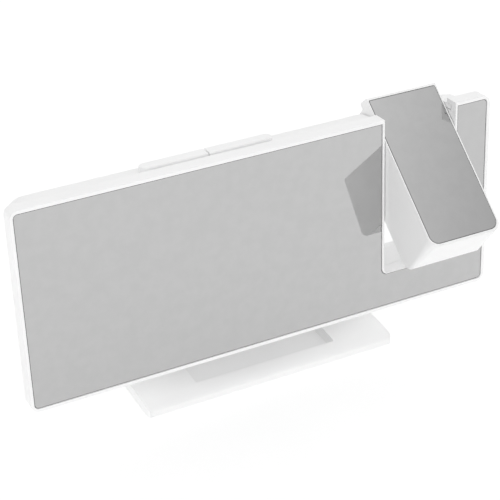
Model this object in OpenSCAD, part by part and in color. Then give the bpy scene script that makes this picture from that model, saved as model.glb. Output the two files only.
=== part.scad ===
// Projection alarm clock on a plate stand.
// A long mirror-fronted case leans back on its stand. The projector arm hangs in
// a notch near the right end of the case and swings forward on two hollow pivots.
// Frame: +Z up, the mirror faces -Y, X runs left to right, origin on the ground.

/* [Front panel] */
// Width of the mirror sheet
mirror_w = 185; // [180:1:200]
// Height of the mirror sheet
mirror_h = 75.1; // [74:0.1:82]
// Thickness of the mirror sheets
mirror_t = 1; // [0.8:0.1:1.2]
// Corner radius of the main mirror
mirror_r = 1.6; // [0.8:0.1:3]
// Corner radius of the mirror at the foot of the notch
notch_r = 2.6; // [1.5:0.1:3.5]
// Mirror strip left between the notch and the right edge
ear_w = 12.8; // [12.4:0.1:16]

/* [Case] */
// Rim of the front shell beyond the mirror
rim = 1.4; // [1.2:0.1:2.5]
// Rim of the front shell beside the notch
notch_rim = 1; // [0.8:0.1:1.4]
// Rim of the front shell below the notch
floor_rim = 0.4; // [0.3:0.05:0.8]
// How far the rim stands proud of the mirror
rim_proud = 0.25; // [0.1:0.05:0.5]
// Corner radius of the front shell
rim_r = 3.4; // [2.5:0.1:5]
// Depth of the front shell behind the mirror face
front_d = 5.7; // [5.2:0.1:6.5]
// Thickness of the plate that carries the mirror
seat_t = 1.6; // [1.2:0.1:1.8]
// Depth of the whole case
case_d = 23.5; // [22.5:0.1:27]
// Step from the mirror edge in to the rear shell
rear_step = 0.45; // [0.3:0.05:0.8]
// Further inset of the rear shell where its round edge starts
rear_taper = 0.92; // [0.5:0.02:1.4]
// Depth at which the round rear edge starts
round_start = 12.5; // [11.5:0.1:13.5]
// Corner radius of the rear shell
rear_r = 7; // [5:0.5:8]
// Wall thickness of the rear shell
wall = 1.8; // [1.5:0.1:2.1]
// Depth at which the notch floor starts to fall away
floor_flat = 17.6; // [15:0.1:20]
// Fall of the notch floor from there to the rear
floor_drop = 1.7; // [0.5:0.1:2.2]
// Lean of the case, degrees back from upright
lean = 5.5; // [3:0.5:8]

/* [Projector arm] */
// Width of the arm
arm_w = 29.5; // [28.5:0.1:32]
// Length of the arm below the top of its mirror
arm_len = 60.3; // [57:0.1:63]
// Depth of the arm
arm_d = 24; // [23.8:0.1:26]
// Radius of the arm's lower corners at its mirror
arm_corner = 4; // [3:0.1:6]
// Radius of the same corners at the rear of the arm
arm_rear_corner = 1; // [0.6:0.1:2.5]
// Radius of the lower rear edge of the arm
arm_heel = 5.6; // [4.5:0.1:7]
// Radius of the round top of the arm
arm_round = 11.4; // [10.5:0.1:11.6]
// Height of the middle of that round, below the top of the arm's mirror
arm_round_s = 12.6; // [12:0.1:13.5]
// Wall thickness of the arm
arm_wall = 1.6; // [1.4:0.1:1.7]
// Rim of the arm beside its mirror
arm_rim = 0.58; // [0.4:0.02:0.8]
// Rim of the arm below its mirror
arm_end_rim = 1.16; // [0.6:0.02:1.4]
// Depth of the lip at the top of the arm
lip_d = 5.6; // [5:0.1:6]
// Height of the lip above the arm's mirror
lip_h = 1.8; // [1.4:0.1:2.2]
// Pivot, behind the mirror face
pivot_d = 11.05; // [10.6:0.05:12]
// Pivot, below the top of the mirror
pivot_drop = 12.1; // [11.8:0.1:13]
// Arm angle at rest, degrees forward from shut
arm_open = 47.8; // [0:0.1:120]
// Gap at each side of the arm
arm_gap = 0.4; // [0.3:0.05:0.6]
// Gap between the swinging heel and the notch floor
heel_gap = 0.3; // [0.25:0.05:0.8]

/* [Pivots] */
// Radius of the hollow pivots
pivot_r = 4; // [3.6:0.1:4.4]
// Radius of the cable way through the pivots
cable_way_r = 2.5; // [1.8:0.1:2.7]
// Radius of the flange inside the arm
pivot_flange_r = 5.8; // [5.2:0.1:6]
// Thickness of that flange
pivot_flange_t = 1.2; // [0.9:0.1:1.3]
// Radius of the friction washers
washer_r = 6.5; // [6:0.1:7]
// Thickness of the friction washers
washer_t = 0.8; // [0.5:0.1:1]
// Radius of the retaining clips
clip_r = 6; // [5.5:0.1:6.5]
// Thickness of the retaining clips
clip_t = 0.9; // [0.6:0.1:1.1]
// Depth of the clip groove
groove_d = 0.7; // [0.4:0.1:0.8]
// Pivot end that stands out beyond the clip
pivot_tail = 0.8; // [0.5:0.1:1.2]
// Radius of the lamp cable
cable_r = 0.9; // [0.6:0.05:1]

/* [Optics] */
// Optical axis, behind the face of the arm's mirror
axis_d = 13.3; // [13.2:0.05:13.5]
// Outer radius of the focusing tube
tube_r = 7; // [6.4:0.1:7.1]
// Wall of the focusing tube round its lenses
tube_wall = 0.9; // [0.7:0.1:1.2]
// Outer end of the focusing tube, below the top of the arm's mirror
tube_s = 4.5; // [4:0.1:5]
// Travel of the focusing tube to each side of its middle place
focus_travel = 1.5; // [0.5:0.1:2]
// Radius of the focus wheel
focus_r = 11.7; // [11.5:0.1:11.9]
// Width of the focus wheel
focus_w = 7.2; // [6:0.1:7.6]
// Upper face of the focus wheel, below the top of the arm's mirror
focus_s = 20.7; // [20.4:0.1:21.5]
// Grip ribs round the focus wheel
focus_ribs = 40; // [24:2:60]
// Wall of the sleeve that guides the focusing tube
sleeve_wall = 1.5; // [1.2:0.1:1.6]
// Length of that sleeve
sleeve_len = 10.3; // [8:0.1:11]
// Thickness of the sleeve's flange
sleeve_flange = 1.6; // [1.2:0.1:1.8]
// Length of the lamp housing
lamp_len = 18.8; // [18:0.1:20]
// Thickness of the image slide
slide_t = 1.2; // [0.8:0.1:1.5]
// Radius of the condenser lens
cond_r = 8.2; // [7.6:0.1:8.6]
// Height of the condenser's dome
cond_dome = 2.2; // [1.5:0.1:3]

/* [Keys and buttons] */
// Length of each top key
key_len = 25.2; // [20:0.1:27]
// Depth of the top keys, front to back
key_d = 4.6; // [4:0.1:5]
// Gap between the two top keys
key_split = 0.4; // [0.3:0.1:1]
// Middle of the pair of top keys, from the left mirror edge
key_x = 74; // [64:1:84]
// Height of the keys above the top of the mirror
key_up = 2.3; // [1.8:0.1:3]
// Travel of the top keys
key_travel = 0.8; // [0.5:0.1:0.9]
// Radius of the rear buttons
button_r = 3.5; // [3:0.1:4]
// Space at each end of the row of rear buttons, to the battery lid and the buzzer
button_side = 2; // [1:0.5:5]
// How far the rear buttons stand out
button_out = 0.9; // [0.6:0.1:1.2]
// Travel of the rear buttons
button_travel = 0.7; // [0.4:0.1:0.8]
// Middle of the rear buttons, below the top of the main board
button_drop = 10; // [9:0.5:13]

/* [Display and electronics] */
// From the mirror's left edge to the first digit
display_left = 22; // [21.5:0.5:32]
// From the last digit to the mirror's edge at the notch
display_right = 19.9; // [19.5:0.1:30]
// From the mirror's lower edge to the digits
display_foot = 18.5; // [18:0.1:22]
// From the digits to the mirror's upper edge
display_head = 18.6; // [18.4:0.1:22]
// Gap between two digits
digit_gap = 4; // [3:0.5:4.5]
// Room for the colon between the middle digits
colon_space = 10; // [6:0.5:11]
// Width of one segment
segment_w = 3.4; // [2.5:0.1:4]
// Depth of the light box behind the digits
box_d = 5.3; // [4.5:0.1:5.5]
// Thickness of the diffuser sheet
film_t = 0.4; // [0.2:0.1:0.5]
// Thickness of the circuit boards
board_t = 1.6; // [1:0.1:1.6]
// Radius of the coin cell
cell_r = 10; // [9:0.1:10.2]
// Thickness of the coin cell
cell_t = 3.2; // [2.5:0.1:3.6]
// Radius of the battery lid
lid_r = 12.5; // [12.2:0.1:13]
// Radius of the buzzer
buzzer_r = 6; // [5:0.1:6.5]
// Height of the buzzer
buzzer_h = 6; // [4:0.1:8]

/* [Stand] */
// Width of the base plate
base_w = 102.6; // [90:0.1:110]
// Front edge of the base, from the foot of the mirror
base_front = -3.2; // [-10:0.1:0]
// Depth of the base plate
base_d = 62; // [58:1:80]
// Thickness of the base plate
base_t = 4.3; // [4:0.1:6]
// Height of the front edge before it rolls over
base_edge = 2.6; // [2:0.1:3]
// Depth of the rolled front
base_roll = 7; // [5:0.1:9]
// Corner radius of the base plate
base_r = 2; // [1:0.1:6]
// Width of the window in the base
window_w = 58.2; // [50:0.1:64]
// Front edge of the window, from the foot of the mirror
window_front = 3.6; // [3:0.1:6]
// Depth of the window
window_d = 15; // [12:0.1:16]
// Height of the mirror's lower edge above the ground
lift = 17.4; // [16:0.1:24]
// Width of the neck
neck_w = 56; // [44:1:60]
// Height of the neck up the back of the case
neck_top = 40; // [38:0.5:44]
// Thickness of the neck at its top
neck_t = 5; // [4.6:0.1:6]
// Depth of the neck's foot on the base
neck_foot = 22; // [20:0.5:26]
// Radius of the upper corners of the neck
neck_r = 6; // [3:0.5:9]
// Radius of the rubber feet
foot_r = 4; // [3:0.1:5]
// Thickness of the rubber feet
foot_t = 1.5; // [1.2:0.1:2]
// How far the feet stand below the base
foot_out = 0.5; // [0.3:0.1:0.8]

/* [Screws] */
// Shank radius of the case and stand screws
screw_r = 1.1; // [0.9:0.05:1.25]
// Head radius of the case and stand screws
head_r = 2.2; // [2:0.1:2.4]
// Head height of the case and stand screws
head_t = 1.6; // [1.2:0.1:1.8]
// Shank radius of the small screws on the boards
small_r = 0.9; // [0.7:0.05:1]
// Head radius of the small screws
small_head_r = 1.9; // [1.5:0.1:2.1]
// Head height of the small screws
small_head_t = 1.2; // [0.8:0.1:1.4]

/* [Fits] */
// Running clearance of round fits
run = 0.05; // [0.03:0.01:0.08]
// Clearance of pieces that are glued or screwed in
fit = 0.1; // [0.05:0.01:0.15]
// Clearance round keys, buttons and lids
slip = 0.2; // [0.15:0.05:0.3]

/* [Hidden] */
$fn = 48;
over = 1;           // how far cuts run past a face
slab = 0.02;        // thickness of the slices that hulled forms are made from

// Depths in the case, counted from the face of the mirror
seat_y = mirror_t + fit;
seat_back = seat_y + seat_t;
film_y = seat_back + fit / 2;
box_y = film_y + film_t + fit / 2;
board_y = box_y + box_d + fit / 2;
board_back = board_y + board_t;
back_in = case_d - wall;
post_meet = board_y + 0.5;      // where the front and rear screw posts meet
head_seat = post_meet + 2.3;    // seat of the case screws' heads

// The notch and the arm in it, counted from the left and lower mirror edges
top_z = mirror_h;
pivot = [pivot_d, top_z - pivot_drop];
arm_foot = top_z - arm_len;
heel_c = [arm_d - arm_heel, arm_foot + arm_heel];
heel_sweep = norm(heel_c - pivot) + arm_heel;
notch_z = pivot.y - heel_sweep - heel_gap;
notch_x1 = mirror_w - ear_w - notch_rim;
notch_x0 = notch_x1 - arm_w - 2 * arm_gap;
arm_x = [notch_x0 + arm_gap, notch_x1 - arm_gap];
arm_cx = (arm_x[0] + arm_x[1]) / 2;

// Height of a point on the arm or case, given as a distance below the mirror's top
function down(s) = top_z - s;

// Points of an arc, and of a rectangle with one radius for each corner
function arc(c, r, a0, a1, n = 8) =
    [for (i = [0:n]) c + r * [cos(a0 + (a1 - a0) * i / n), sin(a0 + (a1 - a0) * i / n)]];
function rounded(lo, hi, r) = concat(
    arc([lo.x + r[0], lo.y + r[0]], r[0], 180, 270),
    arc([hi.x - r[1], lo.y + r[1]], r[1], 270, 360),
    arc([hi.x - r[2], hi.y - r[2]], r[2], 0, 90),
    arc([lo.x + r[3], hi.y - r[3]], r[3], 90, 180));
function even(lo, hi, r) = rounded(lo, hi, [r, r, r, r]);

// Outline g beyond the mirror, with a notch from x0 to x1 that goes down to z
function case_outline(g, r, x0, x1, z, rn) = concat(
    arc([r - g, r - g], r, 180, 270),
    arc([mirror_w + g - r, r - g], r, 270, 360),
    arc([mirror_w + g - r, mirror_h + g - r], r, 0, 90),
    [[x1, mirror_h + g]],
    arc([x1 - rn, z + rn], rn, 0, -90, 5),
    arc([x0 + rn, z + rn], rn, 270, 180, 5),
    [[x0, mirror_h + g]],
    arc([r - g, mirror_h + g - r], r, 90, 180));
function mirror_outline(g) = case_outline(g, mirror_r + g, notch_x0 - notch_rim + g,
    notch_x1 + notch_rim - g, notch_z - floor_rim + g, notch_r - g);

// Extrusions along Y and X, round bars along Y, X and Z, and a block by its corners
module upright(y0, y1) translate([0, y1, 0]) rotate([90, 0, 0]) linear_extrude(y1 - y0) children();
module along_x(x0, x1) translate([x0, 0, 0]) rotate([90, 0, 90]) linear_extrude(x1 - x0) children();
module bar_y(p, y0, y1, r) translate([p.x, y1, p.y]) rotate([90, 0, 0]) cylinder(r = r, h = y1 - y0);
module bar_x(p, x0, x1, r) translate([x0, p.x, p.y]) rotate([0, 90, 0]) cylinder(r = r, h = x1 - x0);
module bar_z(p, z0, z1, r) translate([p.x, p.y, z0]) cylinder(r = r, h = z1 - z0);
module block(lo, hi) translate(lo) cube(hi - lo);

// A point [y, z] of the upright case as it leans on the stand, and of the arm swung by a
function ground(p) = [p.x * cos(lean) + p.y * sin(lean), p.y * cos(lean) - p.x * sin(lean) + lift];
function swing(p, a) = let (v = p - pivot)
    pivot + [v.x * cos(a) + v.y * sin(a), v.y * cos(a) - v.x * sin(a)];

// Side profile of the arm when it is shut: front edge, heel, rear, round top, lip
arm_edge = 0.5;     // radius of the arm's lower front edge
lip_foot = 0.45;    // where the round top meets the lip, below the mirror's top
lip_edge = 0.7;     // radius of the lip's rear edge
lip_rise = 0.7;     // rise of the lip's top from front to rear
round_c = [arm_d - arm_round, down(arm_round_s)];
arm_profile = concat(
    arc([arm_edge, arm_foot + arm_edge], arm_edge, 180, 270, 3),
    arc(heel_c, arm_heel, 270, 360, 10),
    arc(round_c, arm_round, 0, 90, 14),
    [[lip_d + 0.2, down(lip_foot)]],
    arc([lip_d - lip_edge, top_z + lip_h - lip_edge], lip_edge, 0, 90, 4),
    [[arm_edge, top_z + lip_h - lip_rise], [0, top_z + lip_h - lip_rise - arm_edge]]);

// The object's middle from front to rear, so that the origin lies under it
swung_ys = [for (p = arm_profile) ground(swing(p, arm_open)).x];
reach_front = min(concat([base_front, ground([-rim_proud, -rim]).x], swung_ys));
reach_back = max(concat([base_front + base_d, ground([case_d, top_z]).x], swung_ys));
y_mid = -(reach_front + reach_back) / 2;

module stood() translate([-mirror_w / 2, y_mid, 0]) children();
module leaned() translate([-mirror_w / 2, y_mid, lift]) rotate([-lean, 0, 0]) children();
module swung() leaned() translate([0, pivot.x, pivot.y]) rotate([-arm_open, 0, 0])
    translate([0, -pivot.x, -pivot.y]) children();

// ---- Places on the board and the back of the case, as [x, z] ----

window_edge = 0.5;  // from the digits to the edge of the window in front of them
box_lap = 1.8;      // the light box behind the edge of that window
board_edge = [5.7, 6.2];    // from the light box to the edge of the main board
display_lo = [display_left, display_foot];
display_hi = [notch_x0 - notch_rim - display_right, mirror_h - display_head];
board_mid = (display_lo + display_hi) / 2;
digit_block = (display_hi - display_lo) / 2;
digit_w = (digit_block.x - digit_gap - colon_space / 2) / 2;
digit_h = 2 * digit_block.y;
function display(g) = even(board_mid - digit_block - [g, g], board_mid + digit_block + [g, g], 1);
board_half = digit_block + [1, 1] * (window_edge + box_lap) + board_edge;
board_lo = board_mid - board_half;
board_hi = board_mid + board_half;

board_post_r = 2.4;
board_inset = 3.5;
board_posts = [for (sx = [-1, 1], sz = [-1, 1])
    board_mid + [sx * (board_half.x - board_inset), sz * (board_half.y - board_inset)]];

post_r = 3;         // front screw posts
rear_post_r = 3.6;  // rear screw tubes
corner_post = [8, 9];
neck_post_x = 14;
neck_post_z = 32;
post_side = [7.9, 7.8];     // from the notch to the posts at its left and right
inner_post_x = notch_x0 - post_side[0];
ear_post_x = notch_x1 + post_side[1];
case_posts = [corner_post, [corner_post.x, top_z - corner_post.y], [inner_post_x, corner_post.y],
    [inner_post_x, 36], [ear_post_x, 8], [ear_post_x, 44]];
neck_posts = [for (s = [-1, 1]) [mirror_w / 2 + s * neck_post_x, neck_post_z]];

// On the board: from its left or right edge, and from its upper or lower edge
lid_in = [18, 18];
buzzer_in = [7, 13.5];
inlet_in = [36, 10];
socket_in = [16, 10];
lid_c = [board_lo.x + lid_in.x, board_hi.y - lid_in.y];
buzzer_c = board_hi - buzzer_in;
inlet_c = board_lo + inlet_in;
socket_c = board_lo + socket_in;
inlet_size = [9, 3.3];
socket_size = [13.2, 5.8];
inlet_tongue = [6.6, 0.8, 0];       // width, thickness and rise of the tongue
socket_tongue = [11, 1.7, 1];
tab_out = 1.4;      // how far the tabs of the battery lid stand out

button_count = 5;
button_z = board_hi.y - button_drop;
button_x0 = lid_c.x + lid_r + tab_out + slip + button_side;
button_pitch = (buzzer_c.x - buzzer_r - button_side - button_x0) / button_count;
function button_x(i) = button_x0 + (i + 1 / 2) * button_pitch;

// ---- Front shell and its mirror ----

notch_wall = 1.6;   // wall of the front shell beside the notch
tongue_gap = 0.3;   // seam round the rear shell's tongue where it ends at the notch
tongue_y = seat_back + tongue_gap;
tongue_z = top_z - rear_step - wall;
pilot_floor = 0.5;  // plate left in front of the screw holes

module front_post(p, y1, r, hole_r) difference() {
    bar_y(p, seat_back - fit, y1, r);
    bar_y(p, seat_back + pilot_floor, y1 + over, hole_r);
}

module front_shell() color("white") leaned() {
    difference() {
        upright(-rim_proud, front_d)
            polygon(case_outline(rim, rim_r, notch_x0, notch_x1, notch_z, notch_r - notch_rim));
        upright(-rim_proud - over, seat_y) polygon(mirror_outline(fit));
        upright(seat_y - over, seat_back + over) polygon(display(window_edge));
        upright(seat_back, front_d + over) polygon(case_outline(-rear_step, rear_r,
            notch_x0 - notch_wall, notch_x1 + notch_wall, notch_z - notch_wall, notch_r));
        for (x = [notch_x0 - notch_wall - over, notch_x1 - over])
            block([x, seat_back, tongue_z - tongue_gap],
                [x + notch_wall + 2 * over, front_d + over, top_z - rear_step]);
    }
    for (p = case_posts) front_post(p, post_meet, post_r, screw_r + run);
    for (p = board_posts) front_post(p, board_y, board_post_r, small_r + run);
}

module front_mirror() color([0.72, 0.72, 0.72]) leaned()
    upright(0, mirror_t) polygon(mirror_outline(0));

// ---- Display ----

digit_xs = [for (s = [-1, 1], k = [0, 1])
    board_mid.x + s * (colon_space / 2 + digit_w / 2 + k * (digit_w + digit_gap))];
colon_r = 2;
colon_z = 7;

// The seven segments about a digit's middle: [x, z, turn, length]
seg_gap = 0.6;
seg_dx = (digit_w - segment_w) / 2;
seg_dz = (digit_h - segment_w) / 2;
segments = concat(
    [for (k = [-1, 0, 1]) [0, k * seg_dz, 0, 2 * (seg_dx - seg_gap)]],
    [for (s = [-1, 1], k = [-1, 1]) [s * seg_dx, k * seg_dz / 2, 90, seg_dz - 2 * seg_gap]]);

// One segment with pointed ends
module segment(length) let (a = length / 2, w = segment_w / 2)
    polygon([[-a, 0], [w - a, -w], [a - w, -w], [a, 0], [a - w, w], [w - a, w]]);

module light_box() color("white") leaned() difference() {
    upright(box_y, box_y + box_d) polygon(display(window_edge + box_lap));
    for (x = digit_xs, s = segments) translate([x + s[0], 0, board_mid.y + s[1]]) rotate([0, s[2], 0])
        upright(box_y - over, box_y + box_d + over) segment(s[3]);
    for (s = [-1, 1])
        bar_y(board_mid + [0, s * colon_z], box_y - over, box_y + box_d + over, colon_r);
}

module diffuser_sheet() color([0.9, 0.9, 0.9]) leaned()
    upright(film_y, film_y + film_t) polygon(display(window_edge + box_lap));

led_size = [1.6, 0.8, 1.2];
module digit_leds() color("gold") leaned() {
    for (x = digit_xs, s = segments)
        translate([x + s[0], board_y - led_size.y / 2, board_mid.y + s[1]]) cube(led_size, center = true);
    for (s = [-1, 1])
        translate([board_mid.x, board_y - led_size.y / 2, board_mid.y + s * colon_z])
            cube(led_size, center = true);
}

// ---- Main board and what it carries ----

module main_board() color("darkgreen") leaned() difference() {
    upright(board_y, board_back) polygon(even(board_lo, board_hi, 1));
    for (p = board_posts) bar_y(p, board_y - over, board_back + over, small_r + slip);
}

small_bite = 1.6;   // front end of the board screws, behind the mirror's plate
module board_screws() color("silver") leaned() for (p = board_posts) {
    bar_y(p, board_back, board_back + small_head_t, small_head_r);
    bar_y(p, seat_back + small_bite, board_back + fit, small_r);
}

// Chips on the rear of the board, from its middle: [x, z, width, height, thickness]
chips = [[21, -11.5, 10, 10, 1.4], [-1, -13.5, 5, 4, 1.2], [41, -15.5, 4, 3, 1], [5, 0.5, 8, 3.2, 3]];
module control_chips() color([0.15, 0.15, 0.15]) leaned() for (c = chips)
    translate([board_mid.x + c[0] - c[2] / 2, board_back, board_mid.y + c[1] - c[3] / 2])
        cube([c[2], c[4], c[3]]);

switch_w = 6;
switch_t = 3.4;
plunger_r = 1.7;
stem_len = 5.4;     // stem of a rear button in front of its flange's rear face
stem_r = 2;
stem_y = back_in - slip - stem_len;
module rear_switches() color([0.2, 0.2, 0.2]) leaned() for (i = [0:button_count - 1]) {
    translate([button_x(i) - switch_w / 2, board_back, button_z - switch_w / 2])
        cube([switch_w, switch_t, switch_w]);
    bar_y([button_x(i), button_z], board_back + switch_t - fit, stem_y - button_travel - fit, plunger_r);
}

buzzer_hole_r = 1;
module buzzer() color([0.12, 0.12, 0.12]) leaned() difference() {
    bar_y(buzzer_c, board_back, board_back + buzzer_h, buzzer_r);
    bar_y(buzzer_c, board_back + buzzer_h - 1, board_back + buzzer_h + over, buzzer_hole_r);
}

holder_wall = 1.2;
holder_floor = 2;
holder_back = back_in - 2.2;
cell_rest = holder_back - cell_t - 0.4;     // depth at which the cell lies on the holder's ledge
cell_ledge = 2;
lever_w = 4;        // slot for levering the cell out
module cell_holder() color([0.15, 0.15, 0.15]) leaned() difference() {
    bar_y(lid_c, board_back, holder_back, cell_r + slip + holder_wall);
    bar_y(lid_c, cell_rest, holder_back + over, cell_r + slip);
    bar_y(lid_c, board_back + holder_floor, holder_back + over, cell_r - cell_ledge);
    translate([lid_c.x - lever_w / 2, cell_rest, lid_c.y + cell_r - cell_ledge])
        cube([lever_w, holder_back - cell_rest + over, cell_ledge + slip + holder_wall + over]);
}

can_step = 1;       // height and inset of the step round the cell's negative face
module coin_cell() color("silver") leaned() {
    bar_y(lid_c, cell_rest + fit / 2, cell_rest + can_step, cell_r - can_step);
    bar_y(lid_c, cell_rest + can_step, cell_rest + cell_t, cell_r);
}

// ---- Battery lid with two bayonet tabs ----

lid_t = 1.5;
lid_sunk = 0.1;     // the lid lies this much below the case's rear face
lid_ring = 2;       // width of the ring that carries the tabs
tab_t = 1.3;
tab_angle = 40;
tab_ease = 3;       // play at each side of a tab in its slot, degrees
lid_turn = 60;
lid_y = case_d - lid_sunk - lid_t;
tab_y = back_in - fit - tab_t;
coin_slot = [12, 0.8, 1.8];

// A sector of a disc about the lid's middle
module sector(r, mid, half, y0, y1) translate([lid_c.x, 0, lid_c.y])
    upright(y0, y1) polygon(concat([[0, 0]], arc([0, 0], r, mid - half, mid + half)));

module battery_lid() color("white") leaned() difference() {
    union() {
        bar_y(lid_c, lid_y, case_d - lid_sunk, lid_r);
        difference() {
            union() {
                bar_y(lid_c, tab_y, lid_y + fit, lid_r - fit);
                for (a = [0, 180]) sector(lid_r + tab_out, a, tab_angle / 2, tab_y, tab_y + tab_t);
            }
            bar_y(lid_c, tab_y - over, lid_y, lid_r - lid_ring);
        }
    }
    translate([lid_c.x - coin_slot.x / 2, case_d - lid_sunk - coin_slot.y, lid_c.y - coin_slot.z / 2])
        cube([coin_slot.x, coin_slot.y + over, coin_slot.z]);
}

// ---- Sockets ----

socket_depth = 9;
socket_wall = 0.4;
socket_sunk = 0.1;
tongue_sunk = 1;

// Metal shell of a socket, open to the rear, round its contact tongue
module socket(c, size, tongue) {
    difference() {
        translate([c.x - size.x / 2, board_back, c.y - size.y / 2])
            cube([size.x, case_d - socket_sunk - board_back, size.y]);
        translate([c.x - size.x / 2 + socket_wall, case_d - socket_depth, c.y - size.y / 2 + socket_wall])
            cube([size.x - 2 * socket_wall, socket_depth + over, size.y - 2 * socket_wall]);
    }
    translate([c.x - tongue.x / 2, case_d - socket_depth - fit, c.y + tongue.z - tongue.y / 2])
        cube([tongue.x, socket_depth + fit - tongue_sunk, tongue.y]);
}
module power_inlet() color("silver") leaned() socket(inlet_c, inlet_size, inlet_tongue);
module charging_socket() color("silver") leaned() socket(socket_c, socket_size, socket_tongue);

// ---- Rear shell ----

// Slices of the rear shell's form, t inside its outer face: [depth, inset from the mirror's edge]
round_inset = rear_step + rear_taper;
function rear_slices(t) = concat([[front_d, rear_step + t], [round_start, round_inset + t]],
    [for (a = [12:13:90]) let (r = case_d - round_start - t)
        [round_start + r * sin(a), round_inset + t + r * (1 - cos(a))]]);
module slice(s, y0, y1) for (x = [s.y + rear_r, mirror_w - s.y - rear_r],
    z = [s.y + rear_r, mirror_h - s.y - rear_r]) bar_y([x, z], y0, y1, rear_r, $fn = 32);

// The form's front slice starts at y0
module rear_form(t, y0) hull() for (s = rear_slices(t))
    slice(s, s.x == front_d ? y0 : s.x - slab, s.x == front_d ? y0 + slab : s.x);

// Space of the notch, g wider at its sides and foot
notch_in_r = notch_r - notch_rim;
module notch_form(g, foot) upright(seat_back - over, case_d + over)
    polygon(rounded([notch_x0 - g, notch_z - foot], [notch_x1 + g, mirror_h + 3 * over],
        [notch_in_r, notch_in_r, 0.1, 0.1]));

// Ring of the rear shell that lies inside the front shell's rim
tongue_root = 0.5;
module tongue() difference() {
    upright(tongue_y, front_d + tongue_root) polygon(even([1, 1] * (rear_step + fit),
        [mirror_w, mirror_h] - [1, 1] * (rear_step + fit), rear_r - fit));
    upright(tongue_y - over, front_d + over) polygon(even([1, 1] * (rear_step + wall),
        [mirror_w, mirror_h] - [1, 1] * (rear_step + wall), rear_r - wall));
    block([notch_x0 - notch_wall - slip, tongue_y - over, notch_z],
        [notch_x1 + notch_wall + slip, front_d, tongue_z]);
}

neck_post_r = 3.2;
neck_post_clear = 4.9;  // from the main board to the posts for the neck's screws
neck_post_y = board_back + neck_post_clear;
key_y = front_d + 0.4;
key_flange_t = 1.1;
key_flange_z = top_z - round_inset - wall - slip;
pair_len = 2 * key_len + key_split;
grille_w = 8;
grille_slot = 1;
grille_zs = [-3, -1, 1, 3];

module rear_solid() {
    difference() {
        rear_form(0, front_d);
        difference() {
            rear_form(wall, front_d - over);
            notch_form(wall, wall + floor_drop);
        }
    }
    tongue();
    intersection() {
        union() {
            for (p = case_posts) bar_y(p, post_meet + fit, case_d, rear_post_r);
            for (p = neck_posts) bar_y(p, neck_post_y, case_d, neck_post_r);
        }
        rear_form(wall / 2, front_d);
    }
}

module rear_shell() color("white") leaned() difference() {
    rear_solid();
    notch_form(0, 0);
    along_x(notch_x0, notch_x1) polygon([[floor_flat, notch_z + over], [floor_flat, notch_z],
        [case_d, notch_z - floor_drop], [case_d + over, notch_z - floor_drop],
        [case_d + over, notch_z + over]]);
    bar_x(pivot, notch_x0 - wall - over, notch_x0 + over, pivot_r + run);
    bar_x(pivot, notch_x1 - over, notch_x1 + wall + over, pivot_r + run);
    for (p = case_posts) {
        bar_y(p, post_meet - over, head_seat + over, screw_r + slip);
        bar_y(p, head_seat, case_d + over, head_r + slip);
    }
    for (p = neck_posts) bar_y(p, neck_post_y - over, case_d + over, screw_r + run);
    for (i = [0:button_count - 1])
        bar_y([button_x(i), button_z], back_in - over, case_d + over, button_r + slip);
    bar_y(lid_c, back_in - over, case_d + over, lid_r + slip);
    for (a = [0, 180]) sector(lid_r + tab_out + slip, a + lid_turn, tab_angle / 2 + tab_ease,
        back_in - over, case_d + over);
    for (c = [[inlet_c, inlet_size], [socket_c, socket_size]])
        translate([c[0].x - c[1].x / 2 - slip, back_in - over, c[0].y - c[1].y / 2 - slip])
            cube([c[1].x + 2 * slip, wall + 2 * over, c[1].y + 2 * slip]);
    for (z = grille_zs)
        translate([buzzer_c.x - grille_w / 2, back_in - over, buzzer_c.y + z - grille_slot / 2])
            cube([grille_w, wall + 2 * over, grille_slot]);
    translate([key_x - pair_len / 2 - slip, key_y - slip, key_flange_z - over])
        linear_extrude(key_up + round_inset + wall + slip + 2 * over)
            polygon(even([0, 0], [pair_len + 2 * slip, key_d + 2 * slip], key_d / 2));
}

cross = [2.6, 0.5, 0.7];    // length, width and half the height of a screw's cross recess
case_bite = 1;              // front end of the case screws, behind the mirror's plate
module case_screws() color("silver") leaned() for (p = case_posts) {
    difference() {
        bar_y(p, head_seat, head_seat + head_t, head_r);
        for (a = [0, 90]) translate([p.x, head_seat + head_t, p.y]) rotate([0, a, 0])
            cube([cross.x, 2 * cross.z, cross.y], center = true);
    }
    bar_y(p, seat_back + case_bite, head_seat + fit, screw_r);
}

// ---- Top keys ----

key_board_z = board_hi.y + fit / 2;
key_board_top = key_board_z + board_t;
key_board_d = 9;
key_switch_h = 2.2;
key_press_z = key_flange_z - key_flange_t - key_travel - fit;
switch_xs = [for (s = [-1, 1]) key_x + s * (key_len + key_split) / 2];
module key_board() color("darkgreen") leaned()
    block([key_x - pair_len / 2, key_y, key_board_z],
        [key_x + pair_len / 2, key_y + key_board_d, key_board_top]);
module key_switches() color([0.2, 0.2, 0.2]) leaned() for (x = switch_xs) {
    translate([x - switch_w / 2, key_y + slip, key_board_top]) cube([switch_w, switch_w, key_switch_h]);
    bar_z([x, key_y + key_d / 2], key_board_top + key_switch_h - fit, key_press_z, plunger_r);
}

key_end_r = key_d / 2 - 0.1;    // round outer end of each key
key_mid_r = 0.4;                // corners where the two keys meet
key_edge = 0.55;                // rounding of the keys' top edge
key_lip = 0.9;                  // flange that keeps a key in the case

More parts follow.
